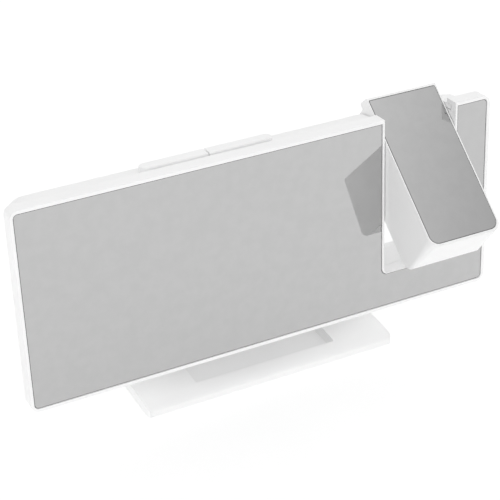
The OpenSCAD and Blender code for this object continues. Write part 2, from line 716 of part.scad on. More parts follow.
// One top key: s is -1 for the left one and 1 for the right one
module top_key(s) {
    x0 = key_x + (s < 0 ? -pair_len / 2 : key_split / 2);
    z1 = top_z + key_up;
    left_r = s < 0 ? key_end_r : key_mid_r;
    right_r = s < 0 ? key_mid_r : key_end_r;
    function plan(i, k) = rounded([x0 + i, key_y + i], [x0 + key_len - i, key_y + key_d - i],
        [left_r - k * i, right_r - k * i, right_r - k * i, left_r - k * i]);
    translate([0, 0, key_flange_z - fit]) linear_extrude(z1 - key_edge - key_flange_z + fit)
        polygon(plan(0, 0));
    hull() {
        translate([0, 0, z1 - key_edge - slab]) linear_extrude(slab) polygon(plan(0, 0));
        translate([0, 0, z1 - 0.36 * key_edge]) linear_extrude(slab)
            polygon(plan(0.45 * key_edge, 0.5));
        translate([0, 0, z1 - slab]) linear_extrude(slab) polygon(plan(key_edge, 0.5));
    }
    block([x0 - (s < 0 ? key_lip : 0), key_y, key_flange_z - key_flange_t],
        [x0 + key_len + (s < 0 ? 0 : key_lip), key_y + key_d + key_lip, key_flange_z]);
}
module snooze_key() color("white") leaned() top_key(-1);
module light_key() color("white") leaned() top_key(1);

// ---- Rear buttons ----

flange_t = 1.4;
flange_out = 1.2;
flange_y = back_in - slip;
cap_y = case_d + button_out;
cap_edge = 0.45;
cap_dish = 0.25;
module rear_button(i) color("white") leaned() translate([button_x(i), 0, button_z]) rotate([-90, 0, 0])
    rotate_extrude() polygon([[0, stem_y], [stem_r, stem_y], [stem_r, flange_y - flange_t],
        [button_r + flange_out, flange_y - flange_t], [button_r + flange_out, flange_y],
        [button_r, flange_y], [button_r, cap_y - cap_edge], [button_r - cap_edge / 3, cap_y - cap_edge / 3],
        [button_r - cap_edge, cap_y], [button_r / 2, cap_y], [0, cap_y - cap_dish]]);
module mode_button() rear_button(0);
module set_button() rear_button(1);
module up_button() rear_button(2);
module down_button() rear_button(3);
module projector_button() rear_button(4);

// ---- Arm ----

arm_top_corner = 0.8;
arm_mirror_lo = [arm_x[0] + arm_rim, arm_foot + arm_end_rim];
arm_mirror_hi = [arm_x[1] - arm_rim, top_z];
function arm_mirror_outline(g) = rounded(arm_mirror_lo - [g, g], arm_mirror_hi + [g, g],
    [arm_corner - arm_rim + g, arm_corner - arm_rim + g, arm_rim + g, arm_rim + g]);
function arm_outline(r) = rounded([arm_x[0], arm_foot], [arm_x[1], top_z + lip_h + over],
    [r, r, arm_top_corner, arm_top_corner]);
arm_in_x = [arm_x[0] + arm_wall, arm_x[1] - arm_wall];
arm_in_back = arm_d - arm_wall;
arm_ceiling = round_c.y + arm_round - arm_wall;
wheel_slot = sqrt(pow(focus_r, 2) - pow(arm_in_back - axis_d, 2)) + 2 * slip;

module arm_cavity() intersection() {
    along_x(arm_in_x[0], arm_in_x[1]) polygon(concat([[seat_y - fit, arm_foot + arm_wall]],
        arc(heel_c, arm_heel - arm_wall, 270, 360), arc(round_c, arm_round - arm_wall, 0, 90),
        [[seat_y - fit, arm_ceiling]]));
    upright(-over, arm_d + over) polygon(rounded([arm_in_x[0], arm_foot + arm_wall],
        [arm_in_x[1], top_z], [arm_corner - arm_wall, arm_corner - arm_wall, 0.5, 0.5]));
}

module arm_shell() color("white") swung() difference() {
    intersection() {
        along_x(arm_x[0], arm_x[1]) polygon(arm_profile);
        hull() {
            upright(-over, -over + slab) polygon(arm_outline(arm_corner));
            upright(arm_d, arm_d + slab) polygon(arm_outline(arm_rear_corner));
        }
    }
    upright(-over, seat_y) polygon(arm_mirror_outline(fit));
    arm_cavity();
    bar_x(pivot, arm_x[0] - over, arm_x[1] + over, pivot_r + run);
    bar_z([arm_cx, axis_d], round_c.y, top_z + 2 * over, tube_r + 2 * slip);
    block([arm_cx - wheel_slot, arm_in_back - over, down(focus_s + focus_w + slip)],
        [arm_cx + wheel_slot, arm_d + over, down(focus_s - slip)]);
}

module arm_mirror() color([0.68, 0.68, 0.68]) swung() upright(0, mirror_t) polygon(arm_mirror_outline(0));

// ---- Pivots, along their axis from the inner face of the arm's wall outwards ----

wall_out = arm_wall + arm_gap + wall;
groove_x = wall_out + washer_t + 2 * fit;
pivot_end = groove_x + clip_t + fit + pivot_tail;
module left_side() translate([arm_in_x[0], pivot.x, pivot.y]) rotate([0, -90, 0]) children();
module right_side() translate([arm_in_x[1], pivot.x, pivot.y]) rotate([0, 90, 0]) children();
module ring(r0, r1, x0, x1) translate([0, 0, x0]) difference() {
    cylinder(r = r1, h = x1 - x0);
    translate([0, 0, -over]) cylinder(r = r0, h = x1 - x0 + 2 * over);
}
module hollow_pivot() rotate_extrude() polygon([[cable_way_r, -fit / 2 - pivot_flange_t],
    [pivot_flange_r, -fit / 2 - pivot_flange_t], [pivot_flange_r, -fit / 2], [pivot_r, -fit / 2],
    [pivot_r, groove_x], [pivot_r - groove_d, groove_x], [pivot_r - groove_d, groove_x + clip_t + fit],
    [pivot_r, groove_x + clip_t + fit], [pivot_r, pivot_end], [cable_way_r, pivot_end]]);
module left_pivot() color([0.25, 0.25, 0.25]) swung() left_side() hollow_pivot();
module right_pivot() color([0.25, 0.25, 0.25]) swung() right_side() hollow_pivot();

module washer() ring(pivot_r + slip, washer_r, wall_out + fit / 2, wall_out + fit / 2 + washer_t);
module pivot_washers() color("silver") leaned() {
    left_side() washer();
    right_side() washer();
}

clip_mouth = 3.2;
module clip() difference() {
    ring(pivot_r - groove_d + run, clip_r, groove_x + fit / 2, groove_x + fit / 2 + clip_t);
    translate([-clip_mouth / 2, 0, groove_x - over]) cube([clip_mouth, clip_r + over, clip_t + 2 * over]);
}
module pivot_clips() color("silver") swung() {
    left_side() clip();
    right_side() clip();
}

// ---- Optics, down the arm from its top ----

optic = [arm_cx, axis_d];
optic_x = [arm_in_x[0] + fit, arm_in_x[1] - fit];
optic_y = [seat_y + 3 * fit, arm_in_back - fit];
sleeve_s = focus_s - slip;      // lower face of the lens sleeve
cable_x = arm_in_x[0] + pivot_flange_t + fit + cable_r + slip;
cable_y = optic_y[0] + cable_r + fit;

// Channel for the lamp cable in a block that fills the arm's width
module cable_channel(s0, s1) block([cable_x - cable_r - fit, optic_y[0] - over, down(s1) - over],
    [cable_x + cable_r + fit, cable_y + cable_r + fit, down(s0) + over]);

module lens_sleeve() color([0.2, 0.2, 0.2]) swung() difference() {
    union() {
        bar_z(optic, down(sleeve_s), down(sleeve_s - sleeve_len), tube_r + run + sleeve_wall);
        block([optic_x[0], optic_y[0], down(sleeve_s)],
            [optic_x[1], optic_y[1], down(sleeve_s - sleeve_flange)]);
    }
    bar_z(optic, down(sleeve_s) - over, down(sleeve_s - sleeve_len) + over, tube_r + run);
    cable_channel(sleeve_s - sleeve_flange, sleeve_s);
}

tube_end_gap = 0.6; // left below the focusing tube when it is all the way down
tube_len = focus_s + focus_w + slip - tube_end_gap - focus_travel - tube_s;
front_edge = 1.8;   // edge thickness of the front lens
rear_edge = 1.4;
front_sunk = 1.2;   // the front lens lies this deep in the tube
rear_sunk = 0.8;
tube_in = tube_r - tube_wall;
tube_bore = tube_in - 0.8;
module focus_tube() color([0.15, 0.15, 0.15]) swung() translate([optic.x, optic.y, down(tube_s)])
    rotate([180, 0, 0]) rotate_extrude() polygon([[tube_in, 0], [tube_r, 0], [tube_r, tube_len],
        [tube_in, tube_len], [tube_in, tube_len - rear_sunk - rear_edge],
        [tube_bore, tube_len - rear_sunk - rear_edge], [tube_bore, front_sunk + front_edge],
        [tube_in, front_sunk + front_edge]]);

// A lens of edge radius r and thickness t, domed by h above and g below inside a flat land
lens_land = 0.9;
function bulge(r, h, n = 8) = let (q = (r * r + h * h) / (2 * h), a = asin(r / q))
    [for (i = [0:n]) [q * sin(a * i / n), q * (cos(a * i / n) - 1) + h]];
module lens(r, t, h, g) let (up = bulge(r - lens_land, h), low = bulge(r - lens_land, g))
    rotate_extrude() polygon(concat([for (p = low) [p.x, -p.y]], [[r, 0], [r, t]],
        [for (i = [len(up) - 1:-1:0]) [up[i].x, t + up[i].y]]));
module lens_at(s) color([0.8, 0.85, 0.9, 0.5]) swung() translate([optic.x, optic.y, down(s)]) children();
module front_lens() lens_at(tube_s + front_sunk + front_edge - run)
    lens(tube_in - run, front_edge - run, 0.6, 0.3);
module rear_lens() lens_at(tube_s + tube_len - rear_sunk)
    lens(tube_in - run, rear_edge - run, 0.5, 0.3);

// Edge of the focus wheel: every second pair of points stands back by the rib's height
rib_h = 0.35;
wheel_edge = [for (i = [0:4 * focus_ribs - 1]) let (a = 90 * i / focus_ribs)
    (focus_r - (i % 4 < 2 ? 0 : rib_h)) * [cos(a), sin(a)]];
module focus_wheel() color([0.2, 0.2, 0.2]) swung() translate([optic.x, optic.y, down(focus_s + focus_w)])
    difference() {
        linear_extrude(focus_w) polygon(wheel_edge);
        translate([0, 0, -over]) cylinder(r = tube_r + slip, h = focus_w + 2 * over);
    }

lamp_s = focus_s + focus_w + slip;      // upper face of the lamp housing
lamp_end = lamp_s + lamp_len;
lamp_bore = cond_r - lens_land;
slide_size = [20.8, 17.8];
slide_s = lamp_s + 2;
cond_edge = 1.4;
cond_in = 9.8;
cond_s = lamp_s + cond_in;  // shoulder that the condenser lens lies against
lamp_screw_x = 10.8;
lamp_screw_bite = 6;
lamp_screws_at = [for (s = [-1, 1]) [optic.x + s * lamp_screw_x, optic.y]];

module lamp_housing() color([0.2, 0.2, 0.2]) swung() difference() {
    block([optic_x[0], optic_y[0], down(lamp_end)], [optic_x[1], optic_y[1], down(lamp_s)]);
    bar_z(optic, down(lamp_end) - over, down(lamp_s) + over, lamp_bore);
    bar_z(optic, down(lamp_end) - over, down(cond_s), cond_r + run);
    block([optic.x - slide_size.x / 2 - fit, optic_y[1] - slide_size.y - fit, down(slide_s + slide_t)],
        [optic.x + slide_size.x / 2 + fit, optic_y[1] + over, down(slide_s)]);
    for (p = lamp_screws_at)
        bar_z(p, down(lamp_end) - over, down(lamp_end - lamp_screw_bite - 1), small_r + run);
    cable_channel(lamp_s, lamp_end);
}
module image_slide() color([0.3, 0.35, 0.4]) swung()
    block([optic.x - slide_size.x / 2, optic_y[1] - slide_size.y, down(slide_s + slide_t)],
        [optic.x + slide_size.x / 2, optic_y[1], down(slide_s) - fit / 2]);
module condenser_lens() lens_at(cond_s + cond_edge) lens(cond_r, cond_edge - run, cond_dome, 0.3);

module lamp_board() color("darkgreen") swung() difference() {
    block([optic_x[0], optic_y[0], down(lamp_end + board_t)], [optic_x[1], optic_y[1], down(lamp_end)]);
    for (p = lamp_screws_at)
        bar_z(p, down(lamp_end + board_t) - over, down(lamp_end) + over, small_r + slip);
}
lamp_r = 2.5;
lamp_foot = [0.4, 0.8];     // width and height of the flange round the lamp's foot
module projector_lamp() color("gold") swung() translate([optic.x, optic.y, down(lamp_end)]) rotate_extrude()
    polygon(concat([[0, 0], [lamp_r + lamp_foot.x, 0], lamp_foot + [lamp_r, 0], [lamp_r, lamp_foot.y]],
        arc([0, 2 * lamp_foot.y], lamp_r, 0, 90)));
module lamp_screws() color("silver") swung() for (p = lamp_screws_at) {
    bar_z(p, down(lamp_end + board_t + small_head_t), down(lamp_end + board_t), small_head_r);
    bar_z(p, down(lamp_end + board_t + fit), down(lamp_end - lamp_screw_bite), small_r);
}

// Cable from the main board along the left pivot's axis and down the arm to the lamp
cable_start = board_hi.x + fit;
module lamp_cable() color([0.1, 0.1, 0.1]) swung() {
    bar_x(pivot, cable_start, cable_x, cable_r);
    bar_y([cable_x, pivot.y], cable_y, pivot.x, cable_r);
    bar_z([cable_x, cable_y], down(lamp_end), pivot.y, cable_r);
    for (y = [cable_y, pivot.x]) translate([cable_x, y, pivot.y]) sphere(r = cable_r);
}

// ---- Stand: y and z are counted on the ground ----

base_x = [(mirror_w - base_w) / 2, (mirror_w + base_w) / 2];
base_back = base_front + base_d;
base_top = foot_out + base_t;
bottom_edge = 0.4;
back_edge = 1.2;
window_r = 0.4;
foot_in = [9, 7.5];
feet = [for (x = [base_x[0] + foot_in.x, base_x[1] - foot_in.x],
    y = [base_front + foot_in.y, base_back - foot_in.y]) [x, y]];
neck_back = ground([case_d, 0]).x + neck_foot;
base_post_at = [18, 8.4];   // screw posts of the neck, from its middle and from its rear
base_posts = [for (s = [-1, 1]) [mirror_w / 2 + s * base_post_at.x, neck_back - base_post_at.y]];
head_sunk = 0.3;

// The front rolls over in a quarter ellipse
base_profile = concat(
    [for (a = [180:-10:90]) [base_front + base_roll + base_roll * cos(a),
        foot_out + base_edge + (base_t - base_edge) * sin(a)]],
    arc([base_back - back_edge, base_top - back_edge], back_edge, 90, 0, 4),
    [[base_back, foot_out + bottom_edge], [base_back - bottom_edge, foot_out],
    [base_front + bottom_edge, foot_out], [base_front, foot_out + bottom_edge]]);

module base_plate() color("white") stood() difference() {
    intersection() {
        along_x(base_x[0], base_x[1]) polygon(base_profile);
        linear_extrude(base_top + over)
            polygon(even([base_x[0], base_front], [base_x[1], base_back], base_r));
    }
    translate([0, 0, -over]) linear_extrude(base_top + 2 * over)
        polygon(even([(mirror_w - window_w) / 2, window_front],
            [(mirror_w + window_w) / 2, window_front + window_d], window_r));
    for (p = feet) bar_z(p, foot_out - over, foot_t, foot_r + fit);
    for (p = base_posts) {
        bar_z(p, -over, base_top + over, screw_r + slip);
        bar_z(p, -over, foot_out + head_sunk + head_t, head_r + slip);
    }
}

neck_z0 = base_top + fit / 2;
neck_y0 = case_d + fit / 2;
neck_wall = 2;
neck_spread = 2;        // the neck is this much thicker where it starts to flare
neck_flare = 16;        // height on the case at which it does
neck_heel = [4, 3];     // bevel along the rear of the neck's foot
neck_solid = 20;        // height on the case above which the neck is solid
neck_edge = 1.2;
neck_front = ground([neck_y0, 0]).x + 1;
neck_x = [(mirror_w - neck_w) / 2, (mirror_w + neck_w) / 2];
neck_profile = [ground([neck_y0, neck_top]), ground([case_d + neck_t - neck_edge, neck_top]),
    ground([case_d + neck_t, neck_top - neck_edge]), ground([case_d + neck_t + neck_spread, neck_flare]),
    [neck_back - neck_heel.x, base_top + neck_heel.y], [neck_back, neck_z0],
    [neck_front, neck_z0], ground([neck_y0, 10])];
neck_hollow = [[neck_front + neck_wall, base_top - over], ground([case_d + neck_wall, 10]),
    ground([case_d + neck_wall, neck_solid]), ground([case_d + neck_t + neck_spread - neck_wall, neck_flare]),
    [neck_back - neck_heel.x - neck_wall, base_top + neck_heel.y],
    [neck_back - neck_heel.x - neck_wall, base_top - over]];
neck_post_h = 14;
base_bite = 6;          // upper end of the base screws, above the base plate
neck_seat = 2.3;        // seat of the neck screws' heads, behind the case

module neck_form() intersection() {
    along_x(neck_x[0], neck_x[1]) polygon(neck_profile);
    translate([0, 0, lift]) rotate([-lean, 0, 0]) upright(-over, base_d + base_front + lift)
        polygon(rounded([neck_x[0], -2 * lift], [neck_x[1], neck_top], [0.1, 0.1, neck_r, neck_r]));
}

module stand_neck() color("white") stood() difference() {
    union() {
        difference() {
            neck_form();
            along_x(neck_x[0] + neck_wall, neck_x[1] - neck_wall) polygon(neck_hollow);
        }
        intersection() {
            for (p = base_posts) bar_z(p, neck_z0, base_top + neck_post_h, post_r);
            neck_form();
        }
    }
    for (p = base_posts) bar_z(p, base_top - over, base_top + base_bite + over, screw_r + run);
    translate([0, 0, lift]) rotate([-lean, 0, 0]) for (p = neck_posts) {
        bar_y(p, case_d - over, case_d + neck_seat + over, screw_r + slip);
        bar_y(p, case_d + neck_seat, case_d + neck_t + neck_spread + over, head_r + slip);
    }
}

neck_bite = 1;          // front end of the neck screws, inside the posts of the rear shell
module neck_screws() color("silver") leaned() for (p = neck_posts) {
    bar_y(p, case_d + neck_seat, case_d + neck_seat + head_t, head_r);
    bar_y(p, neck_post_y + neck_bite, case_d + neck_seat + fit, screw_r);
}
module base_screws() color("silver") stood() for (p = base_posts) {
    bar_z(p, foot_out + head_sunk, foot_out + head_sunk + head_t, head_r);
    bar_z(p, foot_out + head_sunk, base_top + base_bite, screw_r);
}
module rubber_feet() color([0.3, 0.3, 0.3]) stood() for (p = feet) bar_z(p, 0, foot_t, foot_r);

front_shell();
front_mirror();
diffuser_sheet();
light_box();
main_board();
digit_leds();
control_chips();
rear_switches();
board_screws();
buzzer();
cell_holder();
coin_cell();
battery_lid();
power_inlet();
charging_socket();
rear_shell();
case_screws();
key_board();
key_switches();
snooze_key();
light_key();
mode_button();
set_button();
up_button();
down_button();
projector_button();
arm_shell();
arm_mirror();
left_pivot();
right_pivot();
pivot_washers();
pivot_clips();
lens_sleeve();
focus_tube();
front_lens();
rear_lens();
focus_wheel();
lamp_housing();
image_slide();
condenser_lens();
lamp_board();
projector_lamp();
lamp_screws();
lamp_cable();
base_plate();
stand_neck();
neck_screws();
base_screws();
rubber_feet();
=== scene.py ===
"""Finishes a projection alarm clock and sets up a plain studio round it.

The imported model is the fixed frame. Each operator below makes one piece, or one
group of like pieces, in metres and in the frame's own place.
"""

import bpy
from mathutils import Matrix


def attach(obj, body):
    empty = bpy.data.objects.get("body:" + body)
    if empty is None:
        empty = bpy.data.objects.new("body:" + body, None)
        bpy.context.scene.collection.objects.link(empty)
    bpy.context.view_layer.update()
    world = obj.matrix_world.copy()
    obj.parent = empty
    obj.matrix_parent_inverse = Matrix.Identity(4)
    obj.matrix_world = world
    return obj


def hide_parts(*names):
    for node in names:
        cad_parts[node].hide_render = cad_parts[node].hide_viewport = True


bl_info = {
    "name": "Projection alarm clock",
    "version": (1, 0, 0),
    "blender": (4, 5, 0),
    "location": "3D View > Sidebar > Clock",
    "description": "Gives the pieces of a projection alarm clock their final shapes and finishes",
    "category": "Object",
}

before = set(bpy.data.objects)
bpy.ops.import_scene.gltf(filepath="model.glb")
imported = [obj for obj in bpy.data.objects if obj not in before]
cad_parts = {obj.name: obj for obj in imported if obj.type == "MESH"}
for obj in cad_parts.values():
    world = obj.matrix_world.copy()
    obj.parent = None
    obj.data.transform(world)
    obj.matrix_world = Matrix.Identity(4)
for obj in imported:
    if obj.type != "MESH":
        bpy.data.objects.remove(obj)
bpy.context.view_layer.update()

import math

import bmesh
import bpy
from bpy.props import FloatProperty, FloatVectorProperty, IntProperty, PointerProperty
from mathutils import Matrix, Vector

MM = 0.001

# Places of the three groups of pieces. Each matrix turns the group's own
# millimetres into the frame's metres. The case counts from the lower left
# corner of its mirror, and so does the arm when it is shut. The stand counts
# from the ground.
MIRROR_W, MIRROR_H = 185.0, 75.1
LEAN = math.radians(5.5)
LIFT = 17.4
MIDDLE_Y = -15.3956
ARM_OPEN = math.radians(47.8)
PIVOT_Y, PIVOT_Z = 11.05, 63.0
STOOD = Matrix.Scale(MM, 4) @ Matrix.Translation((-MIRROR_W / 2, MIDDLE_Y, 0))
LEANED = STOOD @ Matrix.Translation((0, 0, LIFT)) @ Matrix.Rotation(-LEAN, 4, "X")
SWUNG = (LEANED @ Matrix.Translation((0, PIVOT_Y, PIVOT_Z))
         @ Matrix.Rotation(-ARM_OPEN, 4, "X") @ Matrix.Translation((0, -PIVOT_Y, -PIVOT_Z)))

NOTCH_X = (140.9, 171.2)
NOTCH_Z = 13.8706

CASE, ARM = "case_and_stand", "projector_arm"


# ---- Settings that a user would change ----

def colour(name, text, value):
    return FloatVectorProperty(name=name, description=text, subtype="COLOR", size=3,
                               min=0, max=1, default=value)


def share(name, text, value):
    return FloatProperty(name=name, description=text, subtype="FACTOR", min=0, max=1, default=value)


def length(name, text, value):
    return FloatProperty(name=name, description=text, unit="LENGTH", subtype="DISTANCE",
                         min=0, max=10, default=value)


def levels(name, text, value):
    return FloatVectorProperty(name=name, description=text, size=len(value), min=0, max=10, default=value)


def power(name, text, value):
    return FloatProperty(name=name, description=text, unit="POWER", min=0, max=500, default=value)


class ClockFinishes(bpy.types.PropertyGroup):
    white: colour("White", "Colour of the moulded case", (0.95, 0.95, 0.95))
    white_roughness: share("White roughness", "Roughness of the moulded case", 0.46)
    grain: length("Grain", "Depth of the moulded grain", 0.00001)
    mirror: colour("Mirror", "Tint of the mirrors", (0.51, 0.51, 0.51))
    mirror_roughness: share("Mirror roughness", "Roughness of the mirrors", 0.035)
    # Dark colour of the mirrors' bevel and back: on the bevel it is painted shade that stands for the gap
    # between mirror and rim
    mirror_edge: colour("Mirror edge", "Colour of the ground edge of the mirrors", (0.16, 0.16, 0.16))
    dark: colour("Dark plastic", "Colour of the inner mouldings", (0.03, 0.03, 0.032))
    board: colour("Board", "Colour of the boards' solder mask", (0.02, 0.16, 0.07))
    copper: colour("Copper", "Colour of the tracks under the mask", (0.05, 0.3, 0.12))
    steel: colour("Steel", "Colour of the screws, clips and socket shells", (0.6, 0.6, 0.6))
    glass: colour("Glass", "Tint of the lenses", (0.95, 0.98, 1.0))
    rubber: colour("Rubber", "Colour of the feet", (0.035, 0.035, 0.036))


class ClockEdges(bpy.types.PropertyGroup):
    shell: length("Shell edges", "Radius of the edges of the case and stand", 0.00035)
    rim: length("Rim edges", "Radius of the edges next to the mirrors", 0.00012)
    small: length("Small edges", "Radius of the edges of small mouldings", 0.00015)
    mirror: length("Mirror bevel", "Width of the ground bevel round a mirror", 0.00018)
    soft: length("Shaded edges", "Radius in which light runs round a sharp edge of the mesh", 0.0002)
    steps: IntProperty(name="Steps", description="Facets across a rounded edge", min=1, max=8, default=3)


class ClockStudio(bpy.types.PropertyGroup):
    front_sky: levels("Front", "Brightness of the front screen, from the floor up", (0.45, 0.45, 1.75, 1.45))
    back_sky: levels("Back", "Brightness of the rear screen, from the floor up", (0.6, 0.85, 1.25, 0.8))
    left_sky: levels("Left", "Brightness of the left screen, from the floor up", (0.35, 0.45, 1.0, 0.62))
    right_sky: levels("Right", "Brightness of the right screen, from the floor up", (0.83, 1.1, 0.8, 0.42))
    top_sky: levels("Overhead", "Brightness of the overhead light at its edge and middle", (1.08, 0.5))
    key: power("Key light", "Power of the soft box above", 0.27)
    side: power("Side light", "Power of the large soft box on the left", 1.25)
    floor: colour("Floor", "Colour of the floor", (0.6, 0.6, 0.6))
    floor_glow: FloatProperty(name="Floor glow", description="Light that comes up through the floor",
                              min=0, max=10, default=0.5)
    # The lower glow under the base is painted shade: it darkens the floor seen through the base's window
    floor_mask: share("Glow under the base", "Share of the floor's glow that the base lets through", 0.56)
    lens: FloatProperty(name="Lens", description="Focal length of the camera, in millimetres",
                        unit="CAMERA", min=10, max=500, default=114.27)
    camera: FloatVectorProperty(name="Camera", description="Place of the camera", unit="LENGTH",
                                subtype="TRANSLATION", size=3, default=(-0.227676, -0.431176, 0.361628))
    aim: FloatVectorProperty(name="Aim", description="Turn of the camera", unit="ROTATION", subtype="EULER",
                             size=3, default=(0.998494, -0.009358, -0.477620))


# ---- Finishes: each is a Principled shader with its own detail ----

NOISE_LOW, NOISE_HIGH = 0.3, 0.7    # most of a noise lies between these


def maths(tree, operation, first, second=0.0):
    """A maths node fed with sockets or plain numbers."""
    made = tree.nodes.new("ShaderNodeMath")
    made.operation = operation
    for socket, source in zip(made.inputs, (first, second)):
        if isinstance(source, bpy.types.NodeSocket):
            tree.links.new(source, socket)
        else:
            socket.default_value = source
    return made.outputs["Value"]


class Finish:
    """A material while it is made: the tree, its shader and the piece's own coordinates."""

    def __init__(self, name, tint, roughness, metallic=0.0):
        self.material = bpy.data.materials.new(name)
        self.material.use_nodes = True
        self.material.diffuse_color = (*tint, 1)
        self.tree = self.material.node_tree
        self.shader = self.tree.nodes["Principled BSDF"]
        self.set(self.shader, {"Base Color": (*tint, 1), "Roughness": roughness, "Metallic": metallic})
        self.place = self.node("ShaderNodeTexCoord").outputs["Object"]
        self.normal = None

    def set(self, node, values):
        for key, value in values.items():
            node.inputs[key].default_value = value

    def link(self, out, into):
        self.tree.links.new(out, into)

    def node(self, kind, values=(), **settings):
        made = self.tree.nodes.new(kind)
        for key, value in settings.items():
            setattr(made, key, value)
        self.set(made, dict(values))
        return made

    def noise(self, scale, detail=2.0, rough=0.5, stretch=None):
        """A noise over the piece, drawn together along the axes whose stretch is over 1."""
        made = self.node("ShaderNodeTexNoise", {"Scale": scale, "Detail": detail, "Roughness": rough})
        source = self.place
        if stretch:
            turn = self.node("ShaderNodeMapping", {"Scale": stretch})
            self.link(source, turn.inputs["Vector"])
            source = turn.outputs["Vector"]
        self.link(source, made.inputs["Vector"])
        return made.outputs["Fac"]

    def spread(self, source, low, high, into):
        """Maps a noise to a range of values and feeds an input of the shader."""
        made = self.node("ShaderNodeMapRange", {"From Min": NOISE_LOW, "From Max": NOISE_HIGH,
                                                "To Min": low, "To Max": high})
        self.link(source, made.inputs["Value"])
        self.link(made.outputs["Result"], self.shader.inputs[into])

    def shades(self, source, first, second, low=0.35, high=0.65):
        """Runs the colour from the first to the second where the source goes from low to high."""
        ramp = self.node("ShaderNodeValToRGB")
        ramp.color_ramp.elements[0].position, ramp.color_ramp.elements[0].color = low, (*first, 1)
        ramp.color_ramp.elements[1].position, ramp.color_ramp.elements[1].color = high, (*second, 1)
        self.link(source, ramp.inputs["Fac"])
        self.link(ramp.outputs["Color"], self.shader.inputs["Base Color"])
        return ramp.outputs["Color"]

    def soften(self, radius):
        """Lets the light run round the piece's sharp edges."""
        self.normal = self.node("ShaderNodeBevel", {"Radius": radius}, samples=4).outputs["Normal"]

    def bump(self, source, depth, strength=1.0):
        made = self.node("ShaderNodeBump", {"Strength": strength, "Distance": depth})
        self.link(source, made.inputs["Height"])
        if self.normal is not None:
            self.link(self.normal, made.inputs["Normal"])
        self.normal = made.outputs["Normal"]
        self.link(self.normal, self.shader.inputs["Normal"])


def tinted(tint, factor):
    return tuple(min(1.0, c * factor) for c in tint)


def moulded(name, tint, roughness, grain, mottle=0.012):
    """Satin moulded plastic: fine spark-eroded grain, faint flow marks, uneven gloss."""
    f = Finish(name, tint, roughness)
    f.soften(bpy.context.scene.clock_edges.soft)
    f.shades(f.noise(70, 4, 0.6), tinted(tint, 1 - mottle), tinted(tint, 1 + mottle))
    f.spread(f.noise(220, 3), roughness - 0.05, roughness + 0.06, "Roughness")
    f.bump(f.noise(2600, 3, 0.6), grain)
    f.bump(f.noise(45, 2), grain * 3, 0.5)
    return f.material


def silvered(name, tint, roughness):
    """Back-silvered acrylic: a mirror with very slight waves and a little haze."""
    f = Finish(name, tint, roughness, metallic=1.0)
    f.shades(f.noise(230, 3, 0.5), tinted(tint, 0.985), tinted(tint, 1.015))
    f.spread(f.noise(160, 2), roughness * 0.7, roughness * 1.3, "Roughness")
    f.bump(f.noise(55, 1.5), 0.000003)
    f.set(f.shader, {"Coat Weight": 0.15})
    return f.material


def solder_mask(name, mask, copper):
    """Green mask over a net of copper tracks, with the weave of the glass fibre in it."""
    f = Finish(name, mask, 0.32)
    cells = f.node("ShaderNodeTexVoronoi", {"Scale": 320.0, "Randomness": 0.75},
                   feature="DISTANCE_TO_EDGE")
    f.link(f.place, cells.inputs["Vector"])
    tracks = f.shades(cells.outputs["Distance"], copper, mask, 0.06, 0.09)
    f.bump(tracks, 0.00002, 0.6)
    f.bump(f.noise(3000, 1), 0.000004)
    f.spread(f.noise(400, 2), 0.26, 0.4, "Roughness")
    f.set(f.shader, {"Coat Weight": 0.3, "Coat Roughness": 0.2})
    return f.material


def plated(name, tint, roughness=0.3):
    """Plated steel with fine drawn lines."""
    f = Finish(name, tint, roughness, metallic=1.0)
    lines = f.noise(900, 3, 0.6, stretch=(1, 1, 14))
    f.shades(lines, tinted(tint, 0.85), tinted(tint, 1.1))
    f.spread(lines, roughness - 0.08, roughness + 0.12, "Roughness")
    f.bump(lines, 0.000006)
    return f.material


def epoxy(name, tint):
    """Black moulded epoxy with a coarse sparkle of filler."""
    f = Finish(name, tint, 0.5)
    f.shades(f.noise(5200, 2), tinted(tint, 0.7), tinted(tint, 2.2), 0.45, 0.75)
    f.bump(f.noise(4200, 2), 0.000012)
    f.spread(f.noise(700, 2), 0.42, 0.62, "Roughness")
    return f.material


def optical(name, tint):
    """Clear glass with a thin coating, faint haze only."""
    f = Finish(name, tint, 0.02)
    f.set(f.shader, {"Transmission Weight": 1.0, "IOR": 1.52, "Coat Weight": 0.2})
    f.shades(f.noise(90, 2), tinted(tint, 0.97), tint)
    f.spread(f.noise(300, 2), 0.01, 0.04, "Roughness")
    f.bump(f.noise(120, 1), 0.0000005)
    return f.material


def frosted(name, tint):
    """Frosted film: white, matt, a little light comes through."""
    f = Finish(name, tint, 0.7)
    f.set(f.shader, {"Transmission Weight": 0.25})
    f.shades(f.noise(900, 3), tinted(tint, 0.95), tinted(tint, 1.03))
    f.bump(f.noise(5000, 2), 0.00001)
    f.spread(f.noise(500, 2), 0.6, 0.8, "Roughness")
    return f.material


def lamp_resin(name, tint):
    """Clear resin over a yellow phosphor."""
    f = Finish(name, tint, 0.18)
    f.set(f.shader, {"Coat Weight": 0.6, "Coat Roughness": 0.05})
    f.shades(f.noise(1500, 3), tinted(tint, 0.85), tinted(tint, 1.1))
    f.bump(f.noise(2500, 2), 0.000006)
    f.spread(f.noise(800, 2), 0.12, 0.3, "Roughness")
    return f.material


def rubbery(name, tint):
    """Matt rubber with a pebbled skin."""
    f = Finish(name, tint, 0.85)
    f.shades(f.noise(600, 4, 0.7), tinted(tint, 0.8), tinted(tint, 1.5))
    f.bump(f.noise(2200, 3, 0.7), 0.00003)
    f.spread(f.noise(350, 3), 0.75, 0.95, "Roughness")
    return f.material


def sheathed(name, tint):
    """Soft cable sheath with a slight twist showing through."""
    f = Finish(name, tint, 0.5)
    f.shades(f.noise(900, 3), tinted(tint, 0.8), tinted(tint, 1.4))
    f.bump(f.noise(700, 2, stretch=(1, 1, 3)), 0.00003)
    f.spread(f.noise(500, 2), 0.42, 0.6, "Roughness")
    return f.material


